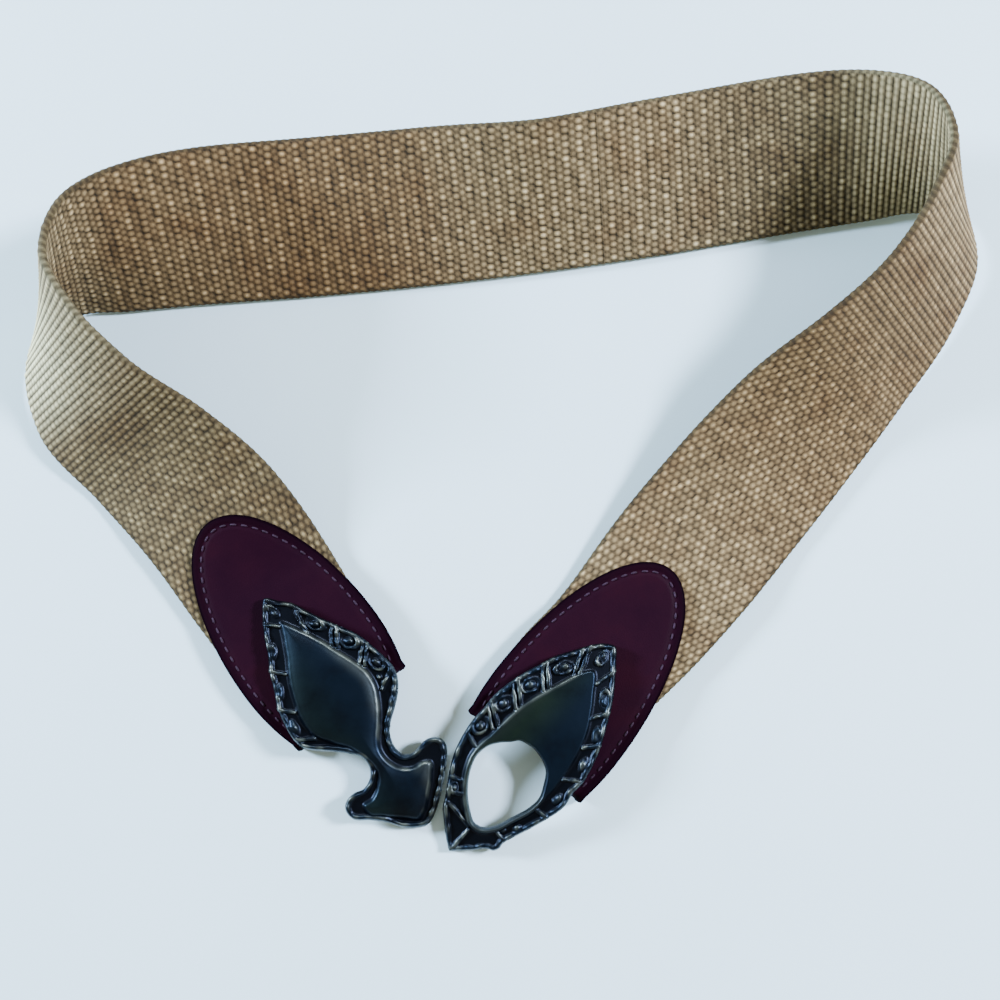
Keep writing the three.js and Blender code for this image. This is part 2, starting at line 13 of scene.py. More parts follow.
import bpy
import numpy as np
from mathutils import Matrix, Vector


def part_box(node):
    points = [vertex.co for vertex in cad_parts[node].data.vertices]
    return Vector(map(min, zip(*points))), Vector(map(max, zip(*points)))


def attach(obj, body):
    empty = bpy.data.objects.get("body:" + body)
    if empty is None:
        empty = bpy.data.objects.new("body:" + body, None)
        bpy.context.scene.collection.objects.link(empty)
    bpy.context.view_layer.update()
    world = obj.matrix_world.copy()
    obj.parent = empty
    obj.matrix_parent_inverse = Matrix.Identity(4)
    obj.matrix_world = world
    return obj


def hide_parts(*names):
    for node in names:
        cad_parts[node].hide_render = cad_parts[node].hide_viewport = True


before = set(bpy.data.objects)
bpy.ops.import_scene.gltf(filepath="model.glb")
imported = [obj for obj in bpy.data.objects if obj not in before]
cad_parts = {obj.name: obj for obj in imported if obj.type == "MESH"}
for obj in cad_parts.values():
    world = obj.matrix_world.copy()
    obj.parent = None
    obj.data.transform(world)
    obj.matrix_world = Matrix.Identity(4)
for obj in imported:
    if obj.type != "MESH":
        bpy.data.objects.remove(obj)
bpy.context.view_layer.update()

LOG = logging.getLogger("belt")
MM = 0.001
TINY = 1e-12


class Side(Enum):
    """The two faces of the webbing: the one worn outwards and the one worn inwards."""

    OUTER = 1
    INNER = -1


class Hand(Enum):
    """The two sides of a tongue or a leaf, seen along its heading."""

    LEFT = 1.0
    RIGHT = -1.0


class Draw(Enum):
    """The separate sets of numbers that are drawn for the cells of the weave."""

    TONE = 3.0
    RIB = 5.0
    SWAY = 7.0


class Blend(Enum):
    """How one colour is laid over another."""

    OVER = "MIX"
    STAIN = "MULTIPLY"


def linear(code: str) -> tuple[float, float, float, float]:
    """Turn an sRGB hex colour into a linear one.

    Args:
        code: Six hex digits, red, green and blue.

    Returns:
        Linear red, green, blue and an alpha of one.
    """
    parts = np.array([int(code[i : i + 2], 16) for i in (0, 2, 4)]) / 255.0
    low = parts / 12.92
    high = ((parts + 0.055) / 1.055) ** 2.4
    red, green, blue = np.where(parts <= 0.04045, low, high)
    return float(red), float(green), float(blue), 1.0


def pattern_scale(size: float) -> float:
    """Scale of a texture whose features are to be a real size in millimetres."""
    return 1.0 / (size * MM)


def smooth_step(value: np.ndarray, low: float, high: float) -> np.ndarray:
    """Rise from 0 at low to 1 at high, level at both ends."""
    part = np.clip((value - low) / (high - low), 0.0, 1.0)
    return part * part * (3.0 - 2.0 * part)


def ridge(distance: np.ndarray, half_width: float) -> np.ndarray:
    """A rounded ridge: 1 on the line, falling as a squared parabola to 0 at its half width."""
    part = np.clip(1.0 - (distance / half_width) ** 2, 0.0, 1.0)
    return part * (2.0 - part)


def spread(cell_a: np.ndarray, cell_b: np.ndarray, salt: float = 0.0) -> np.ndarray:
    """Give every cell of a pattern its own number from 0 to 1.

    The number is the part after the point of a large sine of the cell's two counts.

    Args:
        cell_a: Count of the cell along the piece.
        cell_b: Count of the cell across the piece.
        salt: Another value gives another set of numbers.

    Returns:
        The numbers, shaped as the counts.
    """
    wave = np.sin(cell_a * 12.9898 + cell_b * 78.233 + salt * 37.719) * 43758.5453
    return wave - np.floor(wave)


def column_slopes(at: np.ndarray, values: np.ndarray, calm: np.ndarray) -> np.ndarray:
    """Slope of each column at each row, from the rises on both sides of the row.

    Args:
        at: Place of each row.
        values: One row of values for each place.
        calm: True for a column whose level stretches stay level.

    Returns:
        Slopes, shaped as the values.
    """
    step = np.diff(at)[:, None]
    rise = np.diff(values, axis=0) / step
    before, after = rise[:-1], rise[1:]
    even = (after * step[:-1] + before * step[1:]) / (step[:-1] + step[1:])
    least = np.minimum(np.abs(even), 2.0 * np.minimum(np.abs(before), np.abs(after)))
    quiet = np.where(before * after <= 0.0, 0.0, np.sign(even) * least)
    middle = np.where(calm[None, :], quiet, even)
    return np.vstack([rise[:1], middle, rise[-1:]])


class Track:
    """Smooth curves through the rows of a table, one curve for each column."""

    def __init__(self, rows: list[tuple[float, ...]], calm: tuple[int, ...] = ()) -> None:
        """Keep the table and its slopes.

        Args:
            rows: The place of each row, then its values.
            calm: Columns, counted after the place, whose level stretches stay level.
        """
        table = np.array(rows, dtype=float)
        self.at = table[:, 0]
        self.values = table[:, 1:]
        flags = np.zeros(self.values.shape[1], dtype=bool)
        flags[list(calm)] = True
        self.slopes = column_slopes(self.at, self.values, flags)

    def __call__(self, place: np.ndarray) -> np.ndarray:
        """Read all columns: a cubic between two rows that keeps the slope of both.

        Args:
            place: Places along the table, any shape.

        Returns:
            Values with the columns as the last axis.
        """
        place = np.asarray(place, dtype=float)
        row = np.clip(np.searchsorted(self.at, place, side="right") - 1, 0, len(self.at) - 2)
        step = (self.at[row + 1] - self.at[row])[..., None]
        part = np.clip((place - self.at[row])[..., None] / step, 0.0, 1.0)
        return (
            (2 * part**3 - 3 * part**2 + 1) * self.values[row]
            + (part**3 - 2 * part**2 + part) * step * self.slopes[row]
            + (3 * part**2 - 2 * part**3) * self.values[row + 1]
            + (part**3 - part**2) * step * self.slopes[row + 1]
        )


def unit(vectors: np.ndarray) -> np.ndarray:
    """Bring vectors, held in the last axis, to length one."""
    return vectors / np.linalg.norm(vectors, axis=-1, keepdims=True)


def travel_along(line: np.ndarray) -> np.ndarray:
    """Distance travelled from the start of a line to each of its points, added up step by step."""
    return np.concatenate([[0.0], np.cumsum(np.linalg.norm(np.diff(line, axis=0), axis=1))])


def line_distance(points: np.ndarray, line: np.ndarray, closed: bool = False) -> np.ndarray:
    """Distance from points to a line of straight stretches, in the plane.

    Each point is dropped on every stretch and the nearest drop is kept.

    Args:
        points: Points as an array with x and y in its last axis.
        line: Corners of the line, one row each.
        closed: Whether the last corner joins the first.

    Returns:
        Distances, shaped as the points without their last axis.
    """
    start = line if closed else line[:-1]
    run = (np.roll(line, -1, axis=0) if closed else line[1:]) - start
    square = np.maximum((run**2).sum(-1), TINY)
    best = np.full(points.shape[:-1], np.inf)
    for first, along, length in zip(start, run, square):
        part = np.clip(((points - first) @ along) / length, 0.0, 1.0)
        gap = points - first - part[..., None] * along
        best = np.minimum(best, (gap**2).sum(-1))
    return np.sqrt(best)


def pulled(points: np.ndarray, rims: list[np.ndarray]) -> np.ndarray:
    """Move points to the nearest place on any of some closed lines.

    Args:
        points: Points with x and y in the last axis.
        rims: Closed lines of straight stretches.

    Returns:
        The moved points.
    """
    best = np.full(len(points), np.inf)
    found = points.copy()
    for rim in rims:
        for first, last in zip(rim, np.roll(rim, -1, axis=0)):
            run = last - first
            part = np.clip(((points - first) @ run) / max(float(run @ run), TINY), 0.0, 1.0)
            drop = first + part[:, None] * run
            gap = ((points - drop) ** 2).sum(-1)
            found = np.where((gap < best)[:, None], drop, found)
            best = np.minimum(best, gap)
    return found


def inside(points: np.ndarray, outline: np.ndarray) -> np.ndarray:
    """Tell which points lie inside a closed outline, by counting the edges they cross.

    Args:
        points: Points with x and y in the last axis.
        outline: Corners of the outline, one row each.

    Returns:
        True where a point is inside.
    """
    odd = np.zeros(points.shape[:-1], dtype=bool)
    x, y = points[..., 0], points[..., 1]
    for (ax, ay), (bx, by) in zip(outline, np.roll(outline, -1, axis=0)):
        spans = (ay > y) != (by > y)
        height = by - ay if by != ay else TINY
        odd ^= spans & (x < ax + (y - ay) / height * (bx - ax))
    return odd


def smooth_loop(corners: list[tuple[float, float]], step: float) -> np.ndarray:
    """Round a given closed line into a curve with even steps.

    The curve is a cubic through the corners, told apart by the straight distance between them.
    Three corners are repeated at each end so that it closes smoothly.

    Args:
        corners: Points of the line.
        step: Wanted distance between the new points.

    Returns:
        Points of the curve, one row each.
    """
    line = np.array(corners, dtype=float)
    line = np.vstack([line[-3:], line, line[:3]])
    travel = travel_along(line)
    curve = Track([(place, *point) for place, point in zip(travel, line)])
    low, high = travel[3], travel[-3]
    count = max(2, int(round((high - low) / step)))
    return curve(np.linspace(low, high, count + 1)[:-1])


@dataclass
class Surface:
    """A mesh in the making: points in millimetres on the table and faces of four corners.

    The last few faces may be flat, so that they don't bend the shading of those beside them.
    """

    points: np.ndarray
    faces: np.ndarray
    values: dict[str, np.ndarray]
    flat_faces: int = 0


def grid_faces(rows: int, columns: int, wrap_columns: bool = False) -> np.ndarray:
    """Four-cornered faces between neighbours of a grid numbered row by row.

    Args:
        rows: Number of rows.
        columns: Number of columns.
        wrap_columns: Whether the last column meets the first.

    Returns:
        Corner numbers, one face a row.
    """
    last = columns if wrap_columns else columns - 1
    i, j = np.meshgrid(np.arange(rows - 1), np.arange(last), indexing="ij")
    right = (j + 1) % columns
    corners = [i * columns + j, (i + 1) * columns + j, (i + 1) * columns + right, i * columns + right]
    return np.stack(corners, axis=-1).reshape(-1, 4)


def tube_faces(rings: int, sides: int) -> np.ndarray:
    """Faces of a closed tube: its skin, and both ends filled between the ring's two halves.

    Args:
        rings: Number of rings.
        sides: Points in a ring, an even number.

    Returns:
        Corner numbers, one face a row.
    """
    j = np.arange(sides // 2 - 1)
    first = np.stack([j, j + 1, sides - 2 - j, sides - 1 - j], axis=-1)
    last = (first + (rings - 1) * sides)[:, ::-1]
    return np.vstack([grid_faces(rings, sides, wrap_columns=True), first, last])


def tube_points(
    core: np.ndarray, side: np.ndarray, other: np.ndarray, girth: np.ndarray | float, sides: int
) -> np.ndarray:
    """Rings round a core line: a circle drawn on two directions across the core, times the girth.

    Args:
        core: Points of the core line.
        side: First direction across it, one for each point.
        other: Second direction across it, one for each point.
        girth: Radius at each point.
        sides: Points in a ring.

    Returns:
        The rings' points, with the count round the ring as the last axis but one.
    """
    angle = np.arange(sides) * 2.0 * np.pi / sides
    circle = side[..., None, :] * np.cos(angle)[:, None] + other[..., None, :] * np.sin(angle)[:, None]
    return core[..., None, :] + circle * np.asarray(girth)[..., None, None]


def edge_walls(faces: np.ndarray, offset: int) -> np.ndarray:
    """Walls between two like sheets, along every edge that only one face of the upper one uses.

    Args:
        faces: Faces of the upper sheet.
        offset: Number to add to a corner for its partner on the lower sheet.

    Returns:
        The wall faces.
    """
    edges = np.stack([faces, np.roll(faces, -1, axis=1)], axis=-1).reshape(-1, 2)
    _, first, count = np.unique(np.sort(edges, axis=1), axis=0, return_index=True, return_counts=True)
    lone = edges[first[count == 1]]
    return np.stack([lone[:, 1], lone[:, 0], lone[:, 0] + offset, lone[:, 1] + offset], axis=-1)


@dataclass(frozen=True)
class Placement:
    """Where the table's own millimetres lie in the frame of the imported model."""

    shift_x: float
    shift_y: float

    def to_frame(self, points: np.ndarray) -> np.ndarray:
        """Move points to the frame and turn millimetres to metres."""
        return (points + np.array([self.shift_x, self.shift_y, 0.0])) * MM


@dataclass(frozen=True)
class PlanFrame:
    """A spot on the table and a heading, counted in degrees from +X towards +Y."""

    x: float
    y: float
    heading: float

    def axes(self) -> tuple[np.ndarray, np.ndarray]:
        """Directions ahead and to the left, in plan."""
        turn = np.radians(self.heading)
        return np.array([np.cos(turn), np.sin(turn)]), np.array([-np.sin(turn), np.cos(turn)])

    def spot(self, ahead: np.ndarray, left: np.ndarray) -> np.ndarray:
        """Plan place at a distance ahead and a distance to the left."""
        forward, side = self.axes()
        return np.array([self.x, self.y]) + ahead[..., None] * forward + left[..., None] * side


def make_piece(
    name: str, surface: Surface, placement: Placement, material: bpy.types.Material
) -> bpy.types.Object:
    """Put a surface into Blender as a piece of the belt.

    Args:
        name: Name of the piece.
        surface: Its points, faces and values at the points.
        placement: Where the table lies in the frame.
        material: Its finish.

    Returns:
        The new object, riding on the root body.
    """
    mesh = bpy.data.meshes.new(name)
    mesh.from_pydata(placement.to_frame(surface.points), [], surface.faces.tolist())
    smooth = np.arange(len(surface.faces)) < len(surface.faces) - surface.flat_faces
    mesh.polygons.foreach_set("use_smooth", smooth)
    for key, value in surface.values.items():
        attribute = mesh.attributes.new(key, "FLOAT", "POINT")
        attribute.data.foreach_set("value", value.ravel().astype(np.float32))
    mesh.validate()
    mesh.materials.append(material)
    piece = bpy.data.objects.new(name, mesh)
    bpy.context.scene.collection.objects.link(piece)
    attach(piece, "root")
    LOG.info("%s: %d points, %d faces", name, len(mesh.vertices), len(mesh.polygons))
    return piece


def set_inputs(node: bpy.types.Node, inputs: dict) -> None:
    """Fill a node's sockets.

    Args:
        node: The node.
        inputs: Socket name or number to a value, or to an output socket to link from.
    """
    for key, value in inputs.items():
        if isinstance(value, bpy.types.NodeSocket):
            node.id_data.links.new(value, node.inputs[key])
        else:
            node.inputs[key].default_value = value


def add_node(
    tree: bpy.types.NodeTree, kind: str, inputs: dict | None = None,
    stops: list[tuple[float, str]] | None = None, **settings: object,
) -> bpy.types.Node:
    """Add a node with its settings and links.

    Args:
        tree: Tree the node goes into.
        kind: Blender's name of the node type.
        inputs: Socket name or number to a value, or to an output socket to link from.
        stops: For a colour ramp, the position and sRGB hex colour of each stop.
        settings: Attributes of the node to set.

    Returns:
        The new node.
    """
    node = tree.nodes.new(kind)
    for key, value in settings.items():
        setattr(node, key, value)
    if stops:
        marks = node.color_ramp.elements
        while len(marks) < len(stops):
            marks.new(0.5)
        for mark, (position, code) in zip(marks, stops):
            mark.position = position
            mark.color = linear(code)
    set_inputs(node, inputs or {})
    return node


def new_material(name: str) -> tuple[bpy.types.Material, bpy.types.NodeTree, bpy.types.Node]:
    """Start a material.

    Args:
        name: Its name.

    Returns:
        The material, its node tree and its Principled shader.
    """
    material = bpy.data.materials.new(name)
    material.use_nodes = True
    tree = material.node_tree
    return material, tree, tree.nodes["Principled BSDF"]


@dataclass(frozen=True)
class BasketWeaveWebbing:
    """Heavy cotton webbing in basket weave: matt, light tan yarn humps, coloured darker down in the gaps as
    painted shade and lightest on the crowns as a painted highlight.

    The yarn's height, its own tone, a brown tint, painted shade and painted light come from the
    mesh. A fine noise stands for loose fibres, and a broad one for faint stains.
    """

    # Yarn colours by height: gap is painted shade down between the humps, crown a painted highlight on their
    # tops.
    gap: str = "282214"
    flank: str = "65563c"
    hump: str = "9a8863"
    crown: str = "d6c295"
    # brown tints some stretches of the band browner and darker.
    brown: str = "ad906d"
    # dim is the grey of the painted shade laid on stretches of the band.
    dim: str = "b0b4ae"
    # pale is the cream of the painted light laid on the crowns in the lit turns.
    pale: str = "f6f5c2"
    blotch: str = "bfa58c"
    roughness: float = 0.88
    specular: float = 0.15
    # Real fibres are far finer. They are drawn coarse enough to show.
    fibre_mm: float = 0.35
    fibre_share: float = 0.4
    fibre_bump_mm: float = 0.2
    tone_share: float = 0.16
    darkening: float = 0.28
    blotch_mm: float = 16.0
    painted_light_power: float = 1.6

    def build(self) -> bpy.types.Material:
        """Make the material: yarn colours by height, then stains, a brown tint, painted shade and painted
        light laid over them.

        Returns:
            The finished material.
        """
        material, tree, shader = new_material("basket_weave_webbing")
        # From the mesh: the yarn's height and tone, a brown tint, painted shade and painted light.
        height, tone, brown_tint, painted_shade, painted_light = (
            add_node(tree, "ShaderNodeAttribute", attribute_name=key).outputs["Fac"]
            for key in ("yarn_height", "yarn_tone", "brown_tint", "painted_shade", "painted_light")
        )
        place = add_node(tree, "ShaderNodeTexCoord").outputs["Object"]
        fibre = add_node(
            tree, "ShaderNodeTexNoise",
            {"Vector": place, "Scale": pattern_scale(self.fibre_mm), "Detail": 3.0, "Roughness": 0.6},
        ).outputs["Fac"]
        stain = add_node(
            tree, "ShaderNodeTexNoise",
            {"Vector": place, "Scale": pattern_scale(self.blotch_mm), "Detail": 3.0},
        ).outputs["Fac"]
        stained = add_node(
            tree, "ShaderNodeMapRange",
            {"Value": stain, "From Min": 0.48, "From Max": 0.72, "To Max": 0.5},
        ).outputs[0]
        level = height
        for operation, inputs in (
            ("MULTIPLY_ADD", {0: fibre, 1: self.fibre_share}),
            ("MULTIPLY_ADD", {0: tone, 1: self.tone_share}),
        ):
            level = add_node(tree, "ShaderNodeMath", inputs | {2: level}, operation=operation).outputs[0]
        level = add_node(tree, "ShaderNodeMath", {0: level, 1: self.darkening}, operation="SUBTRACT")
        # Colour by height: darkest in the gaps as painted shade, lightest on the crowns as a painted
        # highlight.
        shown = add_node(
            tree, "ShaderNodeValToRGB", {"Fac": level.outputs[0]},
            [(0.0, self.gap), (0.4, self.flank), (0.78, self.hump), (1.0, self.crown)],
        ).outputs["Color"]
        # Painted light: the pale cream laid on the crowns of the humps in the lit turns, most on the
        # highest.
        raised = add_node(tree, "ShaderNodeMath", {0: height, 1: self.painted_light_power}, operation="POWER")
        crowns = add_node(
            tree, "ShaderNodeMath", {0: painted_light, 1: raised.outputs[0]}, operation="MULTIPLY"
        ).outputs[0]
        # Laid over in turn: faint stains, a brown tint, painted shade, and painted light on the crowns.
        for amount, code, blend in (
            (stained, self.blotch, Blend.STAIN),
            (brown_tint, self.brown, Blend.STAIN),
            (painted_shade, self.dim, Blend.STAIN),
            (crowns, self.pale, Blend.OVER),
        ):
            shown = add_node(
                tree, "ShaderNodeMix", {"Factor": amount, 6: shown, 7: linear(code)},
                data_type="RGBA", blend_type=blend.value,
            ).outputs[2]
        bump = add_node(
            tree, "ShaderNodeBump",
            {"Strength": 0.5, "Distance": self.fibre_bump_mm * MM, "Height": fibre},
        )
        set_inputs(shader, {
            "Base Color": shown, "Normal": bump.outputs["Normal"],
            "Roughness": self.roughness, "Specular IOR Level": self.specular,
        })
        return material


@dataclass(frozen=True)
class BurgundyLeather:
    """Smooth dyed cowhide, dark burgundy: a soft sheen, fine pores, redder where it is rubbed.

    The mesh's own rim value darkens the cut edge and takes its shine away.
    """

    dark: str = "14020e"
    middle: str = "190410"
    rubbed: str = "200611"
    edge: str = "090207"
    roughness: float = 0.5
    specular: float = 0.025
    cloud_mm: float = 26.3
    # Real pores are finer. They are drawn wide enough to show.
    pore_mm: float = 0.45
    pore_bump_mm: float = 0.1

    def build(self) -> bpy.types.Material:
        """Make the material: clouded dye, a dark edge, pores and an uneven gloss.

        Returns:
            The finished material.
        """
        material, tree, shader = new_material("burgundy_leather")
        place = add_node(tree, "ShaderNodeTexCoord").outputs["Object"]
        rim = add_node(tree, "ShaderNodeAttribute", attribute_name="rim").outputs["Fac"]
        cloud = add_node(
            tree, "ShaderNodeTexNoise",
            {"Vector": place, "Scale": pattern_scale(self.cloud_mm), "Detail": 5.0, "Roughness": 0.6},
        ).outputs["Fac"]
        dye = add_node(
            tree, "ShaderNodeValToRGB", {"Fac": cloud},
            [(0.3, self.dark), (0.52, self.middle), (0.75, self.rubbed)],
        )
        cut = add_node(
            tree, "ShaderNodeMix", {"Factor": rim, 6: dye.outputs["Color"], 7: linear(self.edge)},
            data_type="RGBA",
        )
        pores = add_node(
            tree, "ShaderNodeTexVoronoi",
            {"Vector": place, "Scale": pattern_scale(self.pore_mm), "Randomness": 1.0},
        )
        grain = add_node(
            tree, "ShaderNodeBump",
            {"Strength": 0.25, "Distance": self.pore_bump_mm * MM, "Height": pores.outputs["Distance"]},
        )
        gloss = add_node(
            tree, "ShaderNodeMapRange",
            {"Value": cloud, "To Min": self.roughness + 0.1, "To Max": self.roughness - 0.06},
        )
        sheen = add_node(
            tree, "ShaderNodeMapRange", {"Value": rim, "To Min": self.specular, "To Max": 0.0}
        )
        set_inputs(shader, {
            "Base Color": cut.outputs[2], "Normal": grain.outputs["Normal"],
            "Roughness": gloss.outputs[0], "Specular IOR Level": sheen.outputs[0],
        })
        return material


@dataclass(frozen=True)
class MauveThread:
    """Waxed sewing thread, dull mauve, a tone lighter than the leather, its twist a fine wave."""

    colour: str = "2e1a2c"
    shadow: str = "190c17"
    roughness: float = 0.7
    specular: float = 0.15
    # The thread's own fibres would not show, so the noise is as coarse as its twist.
    twist_mm: float = 0.5

    def build(self) -> bpy.types.Material:
        """Make the material: two tones of dye, told apart by a noise as fine as the twist.

        Returns:
            The finished material.
        """
        material, tree, shader = new_material("mauve_thread")
        place = add_node(tree, "ShaderNodeTexCoord").outputs["Object"]
        twist = add_node(
            tree, "ShaderNodeTexNoise", {"Vector": place, "Scale": pattern_scale(self.twist_mm)}
        )
        dye = add_node(
            tree, "ShaderNodeValToRGB", {"Fac": twist.outputs["Fac"]},
            [(0.35, self.shadow), (0.6, self.colour)],
        )
        set_inputs(shader, {
            "Base Color": dye.outputs["Color"],
            "Roughness": self.roughness, "Specular IOR Level": self.specular,
        })
        return material


@dataclass(frozen=True)
class AntiqueGunmetal:
    """Die-cast alloy, blackened and lacquered: near-black, glossy, brighter on worn raised edges.

    The mesh's own values say where it is sunk, where it is worn and given a painted highlight and
    sheen, and where an olive tint is a painted reflection of the warm room.
    """

    recess: str = "050a14"
    tint: str = "061421"
    # olive is the tint of a painted reflection of the warm room on the field.
    olive: str = "17261b"
    # worn is the bright metal of worn heights, used too for the painted highlight and sheen.
    worn: str = "515853"
    metallic: float = 0.85
    roughness: float = 0.36
    cloud_mm: float = 14.3
    # The skin of a real casting is finer. It is drawn coarse enough to show.
    cast_grain_mm: float = 1.11
    cast_bump_mm: float = 0.2

    def build(self) -> bpy.types.Material:
        """Make the material: clouded blackening, then an olive painted reflection, the recess, and
        worn metal with a painted highlight and sheen laid over it.

        Returns:
            The finished material.
        """
        material, tree, shader = new_material("antique_gunmetal")
        place = add_node(tree, "ShaderNodeTexCoord").outputs["Object"]
        wear_and_sheen, olive_reflection, sunk = (
            add_node(tree, "ShaderNodeAttribute", attribute_name=key).outputs["Fac"]
            for key in ("wear_and_sheen", "olive_reflection", "sunk")
        )
        cloud = add_node(
            tree, "ShaderNodeTexNoise",
            {"Vector": place, "Scale": pattern_scale(self.cloud_mm), "Detail": 4.0, "Roughness": 0.55},
        ).outputs["Fac"]
        patchy = add_node(
            tree, "ShaderNodeMapRange",
            {"Value": cloud, "From Min": 0.3, "From Max": 0.6, "To Min": 0.35, "To Max": 1.0},
        )
        share = add_node(
            tree, "ShaderNodeMath", {0: olive_reflection, 1: patchy.outputs[0]}, operation="MULTIPLY"
        ).outputs[0]
        shown = add_node(
            tree, "ShaderNodeValToRGB", {"Fac": cloud}, [(0.3, self.recess), (0.55, self.tint)]
        ).outputs["Color"]
        # Laid over in turn: the olive painted reflection, the sunk recess, and worn metal with the painted
        # highlight and sheen.
        for amount, code in ((share, self.olive), (sunk, self.recess), (wear_and_sheen, self.worn)):
            shown = add_node(
                tree, "ShaderNodeMix", {"Factor": amount, 6: shown, 7: linear(code)}, data_type="RGBA"
            ).outputs[2]
        fine = add_node(
            tree, "ShaderNodeTexNoise",
            {"Vector": place, "Scale": pattern_scale(self.cast_grain_mm), "Detail": 2.0},
        )
        cast = add_node(
            tree, "ShaderNodeBump",
            {"Strength": 0.12, "Distance": self.cast_bump_mm * MM, "Height": fine.outputs["Fac"]},
        )
        gloss = add_node(
            tree, "ShaderNodeMapRange",
            {"Value": cloud, "To Min": self.roughness - 0.08, "To Max": self.roughness + 0.12},
        )
        set_inputs(shader, {
            "Base Color": shown, "Normal": cast.outputs["Normal"],
            "Roughness": gloss.outputs[0], "Metallic": self.metallic,
        })
        return material


@dataclass(frozen=True)
class PaleTable:
    """The plain pale table: painted board, cool white and matt, with a very faint mottle."""

    colour: str = "c6e1e9"
    shade: str = "c3dee6"
    roughness: float = 0.8
    mottle_mm: float = 83.3

    def build(self) -> bpy.types.Material:
        """Make the material: two close tones, told apart by a broad noise.

        Returns:
            The finished material.
        """
        material, tree, shader = new_material("pale_table")
        place = add_node(tree, "ShaderNodeTexCoord").outputs["Object"]
        cloud = add_node(
            tree, "ShaderNodeTexNoise", {"Vector": place, "Scale": pattern_scale(self.mottle_mm)}
        )
        tint = add_node(
            tree, "ShaderNodeValToRGB", {"Fac": cloud.outputs["Fac"]},
            [(0.3, self.shade), (0.7, self.colour)],
        )
        set_inputs(shader, {"Base Color": tint.outputs["Color"], "Roughness": self.roughness})
        return material


BAND_ROWS = [
    # at, foot x, foot y, foot z, top x, top y, top z, width
    (0, 24, -90, 3, -7, -67, 3, 39),
    (25, 42, -71, 3, 6, -47, 3, 44),
    (48, 59, -55, 3, 19, -31, 3, 46),
    (76, 77, -36, 3, 37, -8, 5, 49),
    (104, 95, -15, 1.2, 55, 14, 11, 50),
    (132, 112, 6, 1.2, 74, 34, 20, 50),
    (165, 132, 32, 1.2, 99, 51, 33, 50),
    (195, 150, 58, 2, 119, 70, 40, 50),
    (218, 159, 81, 3, 130, 88, 44, 50),
    (235, 155, 96, 2.5, 135, 103, 48, 50),
    (250, 142, 99, 1.2, 131, 117, 47, 50),
    (270, 124, 96, 1.2, 117, 128, 39, 50),
    (300, 95, 91, 1.2, 88, 133, 29, 50),
    (340, 56, 84, 1.2, 50, 124, 31, 50),
    (380, 16, 78, 1.2, 11, 113, 36, 50),
    (420, -23, 73, 1.2, -27, 115, 29, 50),
    (460, -63, 69, 1.2, -67, 115, 26.5, 50),
    (500, -102, 66, 1.2, -105, 102, 35, 50),
    (522, -124, 64, 1.2, -123, 91, 44, 50),
    (538, -139, 63, 1.2, -131, 79, 48, 50),
    (552, -150, 58, 2, -133, 66, 49, 50),
    (570, -155, 43, 3, -126, 51, 43, 50),
    (592, -149, 21, 3.5, -113, 38, 34, 50),
    (622, -129, -1, 1.2, -91, 24, 22, 50),
    (648, -112, -19, 3, -72, 7, 11, 49),
    (676, -94, -42, 3, -55, -18, 3, 47),
    (698, -80, -59, 3, -44, -34, 3, 44),
    (721, -63, -76, 3, -32, -52, 3, 39),
]


@dataclass(frozen=True)
class Stretch:
    """A stretch of the band on which something shows, coming in and going out over some way."""

    comes_from: float
    full_from: float
    full_to: float
    gone_at: float

    def share(self, at: np.ndarray) -> np.ndarray:
        """How much of it shows: 0 outside, 1 in the middle, smooth steps between."""
        coming = smooth_step(at, self.comes_from, self.full_from)
        return coming * (1.0 - smooth_step(at, self.full_to, self.gone_at))


